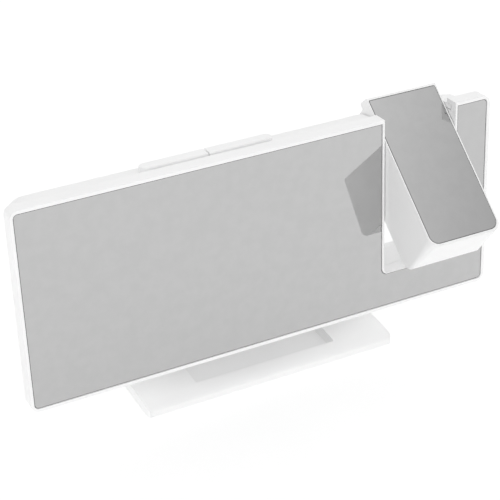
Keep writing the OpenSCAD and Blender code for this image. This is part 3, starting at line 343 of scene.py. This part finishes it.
def filmed(name, tint):
    """Dark film of the image slide: glossy, nearly black, slightly blue."""
    f = Finish(name, tint, 0.12)
    f.shades(f.noise(500, 3), tinted(tint, 0.7), tinted(tint, 1.5))
    f.bump(f.noise(300, 1), 0.000002)
    f.spread(f.noise(400, 2), 0.08, 0.2, "Roughness")
    f.set(f.shader, {"Coat Weight": 0.5, "Coat Roughness": 0.05})
    return f.material


def finish(name):
    """The finish of that name, made once from the user's settings."""
    label = "clock_" + name
    if label in bpy.data.materials:
        return bpy.data.materials[label]
    s = bpy.context.scene.clock_finishes
    makers = {
        "white_plastic": (moulded, s.white, s.white_roughness, s.grain),
        "dark_plastic": (moulded, s.dark, 0.5, s.grain * 2, 0.15),
        "mirror": (silvered, s.mirror, s.mirror_roughness),
        # dark ground edge of each mirror, painted shade of the gap between mirror and rim
        "mirror_edge": (moulded, s.mirror_edge, 0.35, s.grain, 0.05),
        "circuit_board": (solder_mask, s.board, tuple(s.copper)),
        "steel": (plated, s.steel),
        "gold_contact": (plated, (0.8, 0.58, 0.25), 0.25),
        "epoxy": (epoxy, (0.018, 0.018, 0.02)),
        "optical_glass": (optical, s.glass),
        "diffuser": (frosted, (0.8, 0.8, 0.8)),
        "lamp": (lamp_resin, (0.85, 0.78, 0.45)),
        "rubber_foot": (rubbery, s.rubber),
        "cable_jacket": (sheathed, (0.022, 0.022, 0.023)),
        "slide_film": (filmed, (0.02, 0.03, 0.05)),
    }
    maker, tint, *rest = makers[name]
    return maker(label, tuple(tint), *rest)


# ---- Mesh helpers. Lengths are in millimetres in a group's own place ----

FLAT = math.radians(0.8)     # faces that meet at less are joined up
SHARP = math.radians(28)     # edges that turn by more are rounded


def arc(cx, cz, r, first, last, count):
    turns = [math.radians(first + (last - first) * i / count) for i in range(count + 1)]
    return [(cx + r * math.cos(turn), cz + r * math.sin(turn)) for turn in turns]


def rounded(x0, z0, x1, z1, radii, count=10):
    """Outline of a rectangle, from its lower left corner on, with one radius for each corner."""
    a, b, c, d = [max(r, 0.01) for r in radii]
    return (arc(x0 + a, z0 + a, a, 180, 270, count) + arc(x1 - b, z0 + b, b, 270, 360, count)
            + arc(x1 - c, z1 - c, c, 0, 90, count) + arc(x0 + d, z1 - d, d, 90, 180, count))


def upright(points, y):
    return [(x, y, z) for x, z in points]


def level(points, z):
    return [(x, y, z) for x, y in points]


def ring(bm, points):
    return [bm.verts.new(p) for p in points]


def loft(bm, rings, material=0):
    """Bands of faces between rings of equal length."""
    for lower, upper in zip(rings, rings[1:]):
        for i in range(len(lower)):
            j = (i + 1) % len(lower)
            bm.faces.new((lower[i], lower[j], upper[j], upper[i])).material_index = material


def cap(bm, verts, material=0):
    bm.faces.new(verts).material_index = material


def solid(bm, rings):
    """A closed body through the rings."""
    loft(bm, rings)
    cap(bm, rings[0])
    cap(bm, rings[-1])


def cap_with_hole(bm, outer, inner):
    """A flat face between an outer ring and the ring of its hole."""
    edges = []
    for loop in (outer, inner):
        for i in range(len(loop)):
            pair = (loop[i], loop[(i + 1) % len(loop)])
            edges.append(bm.edges.get(pair) or bm.edges.new(pair))
    bmesh.ops.triangle_fill(bm, edges=edges, use_beauty=True)


def carried(node, place, merge=0.002):
    """The mesh of a CAD node in its group's own millimetres, with its flat faces joined up."""
    bm = bmesh.new()
    bm.from_mesh(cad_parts[node].data)
    bm.transform(place.inverted())
    bmesh.ops.remove_doubles(bm, verts=bm.verts, dist=merge)
    bmesh.ops.dissolve_degenerate(bm, dist=merge, edges=bm.edges)
    bmesh.ops.dissolve_limit(bm, angle_limit=FLAT, verts=bm.verts, edges=bm.edges)
    for f in bm.faces:
        f.material_index = 0
    return bm


def round_edges(bm, width, steps, pick=None):
    """Rounds the sharp edges whose middle pick names, or all of them."""
    edges = [e for e in bm.edges if len(e.link_faces) == 2 and e.calc_face_angle() > SHARP
             and (pick is None or pick((e.verts[0].co + e.verts[1].co) / 2))]
    if edges:
        bmesh.ops.bevel(bm, geom=edges, offset=width, offset_type="OFFSET", segments=steps, profile=0.5,
                        clamp_overlap=True, affect="EDGES", loop_slide=True)


def piece(name, bm, place, body, finishes, replaces=(), smooth=32):
    """Turns a mesh in its group's millimetres into a piece that rides on its body.

    Edges that turn by more than smooth degrees are shaded sharp.
    """
    bmesh.ops.recalc_face_normals(bm, faces=bm.faces)
    bm.transform(place)
    mesh = bpy.data.meshes.new(name)
    bm.to_mesh(mesh)
    bm.free()
    for f in finishes:
        mesh.materials.append(finish(f))
    mesh.shade_smooth()
    mesh.set_sharp_from_angle(angle=math.radians(smooth))
    made = bpy.data.objects.new(name, mesh)
    bpy.context.scene.collection.objects.link(made)
    weights = made.modifiers.new("Even shading", "WEIGHTED_NORMAL")
    weights.keep_sharp = True
    weights.weight = 80
    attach(made, body)
    if replaces:
        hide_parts(*replaces)


def white_piece(name, bm, place, body, node):
    """A moulded white piece that stands in for one CAD node."""
    piece(name, bm, place, body, ["white_plastic"], [node])


def refinish(nodes, name):
    """Gives CAD nodes whose shape is right their procedural finish."""
    for n in nodes:
        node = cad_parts[n]
        if not node.data.materials:
            node.data.materials.append(finish(name))
        for slot in node.material_slots:
            slot.material = finish(name)


# ---- Case ----

MIRROR_T = 1.0
MIRROR_R, NOTCH_R = 1.6, 2.6
NOTCH_RIM, FLOOR_RIM = 1.0, 0.4     # white rim at the notch's sides and floor
NOTCH_EDGES = (139, 173)            # the notch with the edges next to it
RIM_FRONT, RIM_BACK = -0.2, 0.3     # depths of the frame's front edges and of its mirror seat
FRAME_BACK = 5                      # depth behind which the frame's rear edges lie
BACK_BEVEL = 0.1
GROUND = 0.4                        # share of the front bevel that its first, flatter facet takes

ARM_MIRROR_X, ARM_MIRROR_Z = (141.88, 170.22), (15.96, 75.1)
ARM_MIRROR_R = (3.42, 3.42, 0.58, 0.58)


def mirror_outline(g):
    """Outline g beyond the edge of the main mirror, with its notch for the arm."""
    count, r = 10, MIRROR_R + g
    x0, x1 = NOTCH_X[0] - NOTCH_RIM + g, NOTCH_X[1] + NOTCH_RIM - g
    z, rn = NOTCH_Z - FLOOR_RIM + g, NOTCH_R - g
    top = MIRROR_H + g
    return (arc(r - g, r - g, r, 180, 270, count) + arc(MIRROR_W + g - r, r - g, r, 270, 360, count)
            + arc(MIRROR_W + g - r, top - r, r, 0, 90, count) + [(x1, top)]
            + arc(x1 - rn, z + rn, rn, 0, -90, count) + arc(x0 + rn, z + rn, rn, 270, 180, count)
            + [(x0, top)] + arc(r - g, top - r, r, 90, 180, count))


def arm_mirror_outline(g):
    """Outline g beyond the edge of the arm's mirror."""
    return rounded(ARM_MIRROR_X[0] - g, ARM_MIRROR_Z[0] - g, ARM_MIRROR_X[1] + g, ARM_MIRROR_Z[1] + g,
                   [r + g for r in ARM_MIRROR_R])


def glass_sheet(name, outline, bevel, place, body, node):
    """A mirror sheet with a narrow ground bevel, dark at its edge and back. The dark edge is partly the
    glass's own ground edge and partly painted shade for the gap between mirror and rim.
    """
    bm = bmesh.new()
    rings = [ring(bm, upright(outline(-bevel), 0)),
             ring(bm, upright(outline(-bevel * GROUND), bevel * GROUND)),
             ring(bm, upright(outline(0), bevel)),
             ring(bm, upright(outline(0), MIRROR_T - BACK_BEVEL)),
             ring(bm, upright(outline(-BACK_BEVEL), MIRROR_T))]
    # The bevel band and edges take the dark finish, which paints the shade in the gap between mirror and rim
    loft(bm, rings, 1)
    cap(bm, rings[0][::-1], 0)
    cap(bm, rings[-1], 1)
    piece(name, bm, place, body, ("mirror", "mirror_edge"), [node], smooth=20)


def outer_rim(m):
    """Tells whether m is on the front edges round the outside of the frame, clear of the notch."""
    outside = m.x < 0 or m.x > MIRROR_W or m.z < 0 or m.z > MIRROR_H
    return m.y < RIM_FRONT and outside and not NOTCH_EDGES[0] < m.x < NOTCH_EDGES[1]


class CLOCK_OT_front_frame(bpy.types.Operator):
    """Make the front frame with rounded rims"""
    bl_idname = "clock.front_frame"
    bl_label = "Front frame"
    bl_options = {"REGISTER", "UNDO"}

    def execute(self, context):
        e = context.scene.clock_edges
        bm = carried("front_shell", LEANED)
        round_edges(bm, e.shell / MM, e.steps, outer_rim)
        round_edges(bm, e.rim / MM, e.steps, lambda m: m.y < RIM_BACK)
        round_edges(bm, e.small / MM, e.steps, lambda m: m.y > FRAME_BACK)
        white_piece("front_frame", bm, LEANED, CASE, "front_shell")
        return {"FINISHED"}


class CLOCK_OT_rear_cover(bpy.types.Operator):
    """Make the rear cover with its rounded rear edge"""
    bl_idname = "clock.rear_cover"
    bl_label = "Rear cover"
    bl_options = {"REGISTER", "UNDO"}

    def execute(self, context):
        white_piece("rear_cover", carried("rear_shell", LEANED), LEANED, CASE, "rear_shell")
        return {"FINISHED"}


class CLOCK_OT_mirrors(bpy.types.Operator):
    """Make the main mirror and the arm's mirror"""
    bl_idname = "clock.mirrors"
    bl_label = "Mirrors"
    bl_options = {"REGISTER", "UNDO"}

    def execute(self, context):
        bevel = context.scene.clock_edges.mirror / MM
        glass_sheet("main_mirror", mirror_outline, bevel, LEANED, CASE, "front_mirror")
        glass_sheet("arm_mirror_sheet", arm_mirror_outline, bevel, SWUNG, ARM, "arm_mirror")
        return {"FINISHED"}


class CLOCK_OT_arm(bpy.types.Operator):
    """Make the cover of the projector arm"""
    bl_idname = "clock.arm"
    bl_label = "Projector arm"
    bl_options = {"REGISTER", "UNDO"}

    def execute(self, context):
        white_piece("arm_cover", carried("arm_shell", SWUNG), SWUNG, ARM, "arm_shell")
        return {"FINISHED"}


# ---- Stand ----

class CLOCK_OT_base(bpy.types.Operator):
    """Make the base plate with its rolled front edge and window"""
    bl_idname = "clock.base"
    bl_label = "Base plate"
    bl_options = {"REGISTER", "UNDO"}

    def execute(self, context):
        white_piece("base", carried("base_plate", STOOD), STOOD, CASE, "base_plate")
        return {"FINISHED"}


class CLOCK_OT_neck(bpy.types.Operator):
    """Make the neck of the stand"""
    bl_idname = "clock.neck"
    bl_label = "Stand neck"
    bl_options = {"REGISTER", "UNDO"}

    def execute(self, context):
        e = context.scene.clock_edges
        bm = carried("stand_neck", STOOD, merge=0.02)
        round_edges(bm, e.shell / MM, e.steps)
        white_piece("neck", bm, STOOD, CASE, "stand_neck")
        return {"FINISHED"}


# ---- Keys, buttons and lid ----

KEY_X, KEY_Y, KEY_TOP = (48.6, 99.4), (6.1, 10.7), 77.4
KEY_LEN, KEY_EDGE = 25.2, 0.4
KEY_ROUND, KEY_SQUARE = 2.2, 0.15   # corners at a key's outer end and at the split
KEY_SUNK = 0.3                      # depth of a key's foot in its flange
FLANGE_Z, FLANGE_LIP, FLANGE_R, FLANGE_EDGE = (70.63, 71.73), 0.9, 0.5, 0.12
BUTTON_EDGE, BUTTON_STEPS = 0.1, 2


def key_bar(left):
    """One long key: a bar with one round end and soft top edges, on a flange that keeps it in the case."""
    x0 = KEY_X[0] if left else KEY_X[1] - KEY_LEN
    x1 = x0 + KEY_LEN
    ends = (KEY_ROUND, KEY_SQUARE) if left else (KEY_SQUARE, KEY_ROUND)

    def plan(inset):
        a, b = (max(r - inset, 0.05) for r in ends)
        return rounded(x0 + inset, KEY_Y[0] + inset, x1 - inset, KEY_Y[1] - inset, (a, b, b, a), 12)

    bm = bmesh.new()
    low, high = FLANGE_Z
    rings = [ring(bm, level(plan(0), high - KEY_SUNK))]
    for degrees in range(0, 91, 15):
        turn = math.radians(degrees)
        rings.append(ring(bm, level(plan(KEY_EDGE * (1 - math.cos(turn))),
                                    KEY_TOP - KEY_EDGE * (1 - math.sin(turn)))))
    solid(bm, rings)

    first, last = (x0 - FLANGE_LIP, x1) if left else (x0, x1 + FLANGE_LIP)
    rings = []
    edge = FLANGE_EDGE
    for z, inset in ((low, edge), (low + edge, 0), (high - edge, 0), (high, edge)):
        plate = rounded(first + inset, KEY_Y[0] + inset, last - inset, KEY_Y[1] + FLANGE_LIP - inset,
                        [FLANGE_R] * 4, 4)
        rings.append(ring(bm, level(plate, z)))
    solid(bm, rings)
    return bm


class CLOCK_OT_keys(bpy.types.Operator):
    """Make the pair of long keys in the top of the case"""
    bl_idname = "clock.keys"
    bl_label = "Top keys"
    bl_options = {"REGISTER", "UNDO"}

    def execute(self, context):
        for node, name in (("snooze_key", "snooze_bar"), ("light_key", "light_bar")):
            white_piece(name, key_bar(node == "snooze_key"), LEANED, node, node)
        return {"FINISHED"}


class CLOCK_OT_buttons(bpy.types.Operator):
    """Make the five setting buttons at the back and the battery lid"""
    bl_idname = "clock.buttons"
    bl_label = "Rear buttons and battery lid"
    bl_options = {"REGISTER", "UNDO"}

    def execute(self, context):
        e = context.scene.clock_edges
        for node in ("mode_button", "set_button", "up_button", "down_button", "projector_button"):
            bm = carried(node, LEANED)
            round_edges(bm, BUTTON_EDGE, BUTTON_STEPS)
            white_piece(node.replace("button", "push"), bm, LEANED, node, node)
        bm = carried("battery_lid", LEANED)
        round_edges(bm, e.small / MM, BUTTON_STEPS)
        white_piece("coin_cell_lid", bm, LEANED, "battery_lid", "battery_lid")
        return {"FINISHED"}


# ---- Screws ----

INTO_CASE = Matrix.Rotation(math.radians(-90), 4, "X")
UPWARDS = Matrix.Rotation(math.radians(180), 4, "X")

SCREWS = (
    # name, node, group, body, turn, head top, places, head radius and height, shank radius, length
    ("shell_screws", "case_screws", LEANED, CASE, INTO_CASE, 12.95,
     ((8, 9), (8, 66.1), (133, 9), (133, 36), (179, 8), (179, 44)), 2.2, 1.6, 1.1, 9.25),
    ("neck_fixings", "neck_screws", LEANED, CASE, INTO_CASE, 27.4,
     ((78.5, 32), (106.5, 32)), 2.2, 1.6, 1.1, 11.35),
    ("circuit_screws", "board_screws", LEANED, CASE, INTO_CASE, 11.35,
     ((17.5, 13.5), (17.5, 61.5), (124.5, 13.5), (124.5, 61.5)), 1.9, 1.2, 0.9, 7.05),
    ("base_fixings", "base_screws", STOOD, CASE, UPWARDS, 0.8,
     ((74.5, 36.99), (110.5, 36.99)), 2.2, 1.6, 1.1, 10.0),
    ("lamp_fixings", "lamp_screws", SWUNG, ARM, UPWARDS, 25.4,
     ((145.25, 13.3), (166.85, 13.3)), 1.9, 1.2, 0.9, 8.8),
)
FIRST_TWIST, TWIST_STEP = 25, 67    # degrees by which a screw's cross is turned, no two alike
ROUND_STEPS = 36

# Outline of a head from its flat top to its underside, as shares of its radius and height
HEAD = ((0.66, 0), (0.88, 0.08), (0.97, 0.25), (1, 0.45), (1, 0.94), (0.96, 1))
# Half length and half width of the cross as shares of the head's radius, then its foot's scale and depth
CROSS_LONG, CROSS_WIDE, CROSS_FOOT, CROSS_DEEP = 0.56, 0.15, 0.72, 0.62
# Outline of one turn of the thread: how far it is cut in and how far it lies below the turn's start
THREAD = ((0, 0), (0, 0.08), (0.2, 0.25), (0.2, 0.32))
THREAD_PITCH, THREAD_START, THREAD_END = 0.5, 0.35, 0.6     # the ends count from the head and from the tip
TIP_LONG, TIP_CUT, TIP_FLAT = 0.4, 0.25, 0.35


def screw(bm, at, head_r, head_t, shank_r, long):
    """A pan-head screw with a cross recess and a rolled thread. It points down from its head's top."""
    def turned(radius, z):
        turns = [2 * math.pi * i / ROUND_STEPS for i in range(ROUND_STEPS)]
        return ring(bm, [at @ Vector((radius * math.cos(t), radius * math.sin(t), z)) for t in turns])

    def cross(scale, z):
        a, w = CROSS_LONG * head_r * scale, CROSS_WIDE * head_r * scale
        corners = ((a, -w), (a, w), (w, w), (w, a), (-w, a), (-w, w), (-a, w), (-a, -w), (-w, -w), (-w, -a),
                   (w, -a), (w, -w))
        return ring(bm, [at @ Vector((x, y, z)) for x, y in corners])

    rings = [turned(r * head_r, -t * head_t) for r, t in HEAD] + [turned(shank_r, -head_t)]
    z = -head_t - THREAD_START
    while z > THREAD_END - long:
        rings += [turned(shank_r - cut, z - below) for cut, below in THREAD]
        z -= THREAD_PITCH
    rings += [turned(shank_r - TIP_CUT, TIP_LONG - long), turned(TIP_FLAT * shank_r, -long)]
    loft(bm, rings)
    cap(bm, rings[-1])
    mouth, foot = cross(1, 0), cross(CROSS_FOOT, -CROSS_DEEP * head_t)
    cap_with_hole(bm, rings[0], mouth)
    loft(bm, [mouth, foot])
    cap(bm, foot)


class CLOCK_OT_screws(bpy.types.Operator):
    """Make the screws of the case, the stand, the boards and the lamp"""
    bl_idname = "clock.screws"
    bl_label = "Screws"
    bl_options = {"REGISTER", "UNDO"}

    def execute(self, context):
        for name, node, group, body, turn, top, places, head_r, head_t, shank_r, long in SCREWS:
            bm = bmesh.new()
            for i, (a, b) in enumerate(places):
                at = (a, top, b) if turn is INTO_CASE else (a, b, top)
                twist = Matrix.Rotation(math.radians(FIRST_TWIST + TWIST_STEP * i), 4, "Z")
                screw(bm, Matrix.Translation(at) @ turn @ twist, head_r, head_t, shank_r, long)
            piece(name, bm, group, body, ["steel"], [node], smooth=40)
        return {"FINISHED"}


# ---- Sockets ----

SOCKET_BACK = 13.0
TONGUES = ((50, 20, 6.6, 0.8), (30, 21, 11, 1.7))       # middle, width and thickness of each tongue
TONGUE_END, TONGUE_COAT = 22.5, 0.03
CHAMFER, CHAMFER_LONG, CHAMFER_SLOPE = 0.1, 0.15, 0.2   # the slope is that of the broad faces
# Place, width and side of each contact: eight on both faces of one tongue, four below the other
CONTACTS = ([(50 + 0.72 * (i - 3.5), z, 0.4, side) for i in range(8) for z, side in ((19.6, -1), (20.4, 1))]
            + [(30 + x, 20.15, 1.1, -1) for x in (-3.6, -1.2, 1.2, 3.6)])
CONTACT_T, CONTACT_LEAN = 0.07, 0.03
# Outline of a contact: its depth, then its share of the thickness and how much narrower it is on each side
CONTACT = ((SOCKET_BACK, 1, 0), (21.8, 1, 0), (22.1, 0.8, 0), (22.3, 0.1, 0.1))


def contact(bm, x, z, width, side):
    """One spring contact that lies on a socket's tongue, with its rounded nose at the mouth."""
    rings = []
    for y, lift, inset in CONTACT:
        half, rise = width / 2 - inset, CONTACT_T * side * lift
        corners = ((-half, 0), (half, 0), (half - CONTACT_LEAN, rise), (CONTACT_LEAN - half, rise))
        rings.append(ring(bm, [(x + a, y, z + b) for a, b in corners]))
    solid(bm, rings)


def tongue_coat(bm, x, z, width, thick):
    """Dark moulding round the tongue of a socket, with a chamfered end."""
    rings = []
    for y, inset in ((SOCKET_BACK, 0), (TONGUE_END - CHAMFER_LONG, 0), (TONGUE_END + TONGUE_COAT, CHAMFER)):
        a, b = width / 2 + TONGUE_COAT - inset, thick / 2 + TONGUE_COAT - inset * CHAMFER_SLOPE
        rings.append(ring(bm, [(x - a, y, z - b), (x + a, y, z - b), (x + a, y, z + b), (x - a, y, z + b)]))
    solid(bm, rings)


class CLOCK_OT_contacts(bpy.types.Operator):
    """Coat the tongues of the two sockets and lay their spring contacts"""
    bl_idname = "clock.contacts"
    bl_label = "Socket contacts"
    bl_options = {"REGISTER", "UNDO"}

    def execute(self, context):
        bm = bmesh.new()
        for row in TONGUES:
            tongue_coat(bm, *row)
        piece("socket_tongues", bm, LEANED, CASE, ["dark_plastic"], smooth=20)
        bm = bmesh.new()
        for row in CONTACTS:
            contact(bm, *row)
        piece("socket_contacts", bm, LEANED, CASE, ["gold_contact"], smooth=20)
        return {"FINISHED"}


# ---- Inner pieces, whose shapes stay as they are ----

class CLOCK_OT_inside(bpy.types.Operator):
    """Finish the pieces inside the case and the arm"""
    bl_idname = "clock.inside"
    bl_label = "Inner pieces"
    bl_options = {"REGISTER", "UNDO"}

    def execute(self, context):
        finishes = {
            "white_plastic": ["light_box"],
            "diffuser": ["diffuser_sheet"],
            "circuit_board": ["main_board", "key_board", "lamp_board"],
            "epoxy": ["control_chips"],
            "lamp": ["digit_leds", "projector_lamp"],
            "dark_plastic": ["rear_switches", "key_switches", "buzzer", "cell_holder", "left_pivot",
                             "right_pivot", "lens_sleeve", "focus_tube", "focus_wheel", "lamp_housing"],
            "steel": ["coin_cell", "power_inlet", "charging_socket", "pivot_washers", "pivot_clips"],
            "optical_glass": ["front_lens", "rear_lens", "condenser_lens"],
            "slide_film": ["image_slide"],
            "cable_jacket": ["lamp_cable"],
            "rubber_foot": ["rubber_feet"],
        }
        for name, nodes in finishes.items():
            refinish(nodes, name)
        return {"FINISHED"}


# ---- Studio ----

FLOOR_SIZE = 12
GLOW_MARGIN = 0.0015                # how far inside the base's outline the floor starts to glow
LIT_POINT = (0, 0, 0.05)
SOFT_BOX = ((0.3, -0.5, 1.0), 0.8)      # place and width
SIDE_BOX = ((-1.05, -0.5, 0.3), 0.9)
SKY_HEIGHTS = (0.0, 0.3, 0.6, 0.785, 0.86, 1.0)     # four of a screen and two overhead, as sines


def area_light(name, place, size, watts):
    """A square light that faces the clock and doesn't show in its mirrors."""
    data = bpy.data.lights.new(name, "AREA")
    data.shape, data.size, data.energy = "SQUARE", size, watts
    made = bpy.data.objects.new(name, data)
    made.location = place
    made.rotation_euler = (Vector(LIT_POINT) - Vector(place)).to_track_quat("-Z", "Y").to_euler()
    made.visible_glossy = False
    bpy.context.scene.collection.objects.link(made)


def surroundings(s):
    """White screens on four sides, each with its own brightness at four heights, and an overhead light."""
    world = bpy.data.worlds.new("studio_white")
    world.use_nodes = True
    tree = world.node_tree
    split = tree.nodes.new("ShaderNodeSeparateXYZ")
    tree.links.new(tree.nodes.new("ShaderNodeTexCoord").outputs["Generated"], split.inputs["Vector"])
    x, y, z = (split.outputs[axis] for axis in "XYZ")
    screens = ((y, -1, s.front_sky), (y, 1, s.back_sky), (x, -1, s.left_sky), (x, 1, s.right_sky))
    brightest = max(*s.front_sky, *s.back_sky, *s.left_sky, *s.right_sky, *s.top_sky)
    total = 0.0
    for axis, sign, tones in screens:
        towards = maths(tree, "MAXIMUM", maths(tree, "MULTIPLY", axis, sign), 0.0)
        part = maths(tree, "POWER", towards, 2.0)
        height = tree.nodes.new("ShaderNodeFloatCurve")
        curve = height.mapping.curves[0]
        for _ in SKY_HEIGHTS[2:]:
            curve.points.new(0.5, 0.5)
        for point, sine, tone in zip(curve.points, SKY_HEIGHTS, (*tones, *s.top_sky)):
            point.location = (sine, tone / brightest)
            point.handle_type = "VECTOR"
        height.mapping.update()
        tree.links.new(z, height.inputs["Value"])
        total = maths(tree, "ADD", total, maths(tree, "MULTIPLY", part, height.outputs["Value"]))
    flat = maths(tree, "MAXIMUM", maths(tree, "SUBTRACT", 1.0, maths(tree, "MULTIPLY", z, z)), 0.0001)
    back = tree.nodes["Background"]
    tree.links.new(maths(tree, "DIVIDE", total, flat), back.inputs["Color"])
    back.inputs["Strength"].default_value = brightest
    return world


def glow_outside(f, glow, through):
    """Light comes up through the floor, less of it in the rectangle that the base covers. The lower glow
    there is painted shade on the floor seen through the base's window.
    """
    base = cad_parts["base_plate"]
    corners = [base.matrix_world @ Vector(c) for c in base.bound_box]
    split = f.node("ShaderNodeSeparateXYZ")
    f.link(f.place, split.inputs["Vector"])
    inside = 1.0
    for i, axis in enumerate("XY"):
        low, high = min(c[i] for c in corners), max(c[i] for c in corners)
        away = maths(f.tree, "ABSOLUTE", maths(f.tree, "SUBTRACT", split.outputs[axis], (low + high) / 2))
        covered = maths(f.tree, "LESS_THAN", away, (high - low) / 2 - GLOW_MARGIN)
        inside = maths(f.tree, "MULTIPLY", inside, covered)
    # Painted shade: the floor under the base glows less, so it looks shadowed through the window
    choice = f.node("ShaderNodeMapRange", {"To Min": glow, "To Max": glow * through})
    f.link(inside, choice.inputs["Value"])
    f.link(choice.outputs["Result"], f.shader.inputs["Emission Strength"])


class CLOCK_OT_studio(bpy.types.Operator):
    """Set up the floor, the soft light and the camera"""
    bl_idname = "clock.studio"
    bl_label = "Studio"
    bl_options = {"REGISTER", "UNDO"}

    def execute(self, context):
        scene, s = context.scene, context.scene.clock_studio
        scene.view_settings.view_transform = "Standard"

        bm = bmesh.new()
        bmesh.ops.create_grid(bm, x_segments=40, y_segments=40, size=FLOOR_SIZE)
        mesh = bpy.data.meshes.new("floor")
        bm.to_mesh(mesh)
        bm.free()
        floor = bpy.data.objects.new("floor", mesh)
        scene.collection.objects.link(floor)
        f = Finish("floor_board", tuple(s.floor), 0.8)
        f.shades(f.noise(9, 3), tinted(s.floor, 0.99), tinted(s.floor, 1.01))
        f.bump(f.noise(600, 2), 0.00002)
        f.set(f.shader, {"Emission Color": (1, 1, 1, 1)})
        glow_outside(f, s.floor_glow, s.floor_mask)
        mesh.materials.append(f.material)
        scene.world = surroundings(s)
        area_light("soft_box", *SOFT_BOX, s.key)
        area_light("side_box", *SIDE_BOX, s.side)

        data = bpy.data.cameras.new("camera")
        data.lens, data.sensor_width = s.lens, 36
        data.clip_start, data.clip_end = 0.01, 20
        camera = bpy.data.objects.new("camera", data)
        camera.location, camera.rotation_euler = s.camera, s.aim
        scene.collection.objects.link(camera)
        scene.camera = camera
        return {"FINISHED"}


# ---- Add-on ----

STEPS = (CLOCK_OT_front_frame, CLOCK_OT_rear_cover, CLOCK_OT_mirrors, CLOCK_OT_arm, CLOCK_OT_base,
         CLOCK_OT_neck, CLOCK_OT_keys, CLOCK_OT_buttons, CLOCK_OT_screws, CLOCK_OT_contacts,
         CLOCK_OT_inside, CLOCK_OT_studio)


class CLOCK_PT_sidebar(bpy.types.Panel):
    """The clock's settings and the steps that make it"""
    bl_idname = "CLOCK_PT_sidebar"
    bl_label = "Projection alarm clock"
    bl_space_type = "VIEW_3D"
    bl_region_type = "UI"
    bl_category = "Clock"

    def draw(self, context):
        scene = context.scene
        for title, group in (("Finishes", scene.clock_finishes), ("Edges", scene.clock_edges),
                             ("Studio", scene.clock_studio)):
            box = self.layout.box()
            box.label(text=title)
            for key in type(group).__annotations__:
                box.prop(group, key)
        column = self.layout.column(align=True)
        for step in STEPS:
            column.operator(step.bl_idname)


CLASSES = (ClockFinishes, ClockEdges, ClockStudio, *STEPS, CLOCK_PT_sidebar)


def register():
    for c in CLASSES:
        bpy.utils.register_class(c)
    bpy.types.Scene.clock_finishes = PointerProperty(type=ClockFinishes)
    bpy.types.Scene.clock_edges = PointerProperty(type=ClockEdges)
    bpy.types.Scene.clock_studio = PointerProperty(type=ClockStudio)


def unregister():
    del bpy.types.Scene.clock_studio, bpy.types.Scene.clock_edges, bpy.types.Scene.clock_finishes
    for c in reversed(CLASSES):
        bpy.utils.unregister_class(c)


def main():
    register()
    for step in STEPS:
        group, name = step.bl_idname.split(".")
        getattr(getattr(bpy.ops, group), name)()


if __name__ == "__main__":
    main()
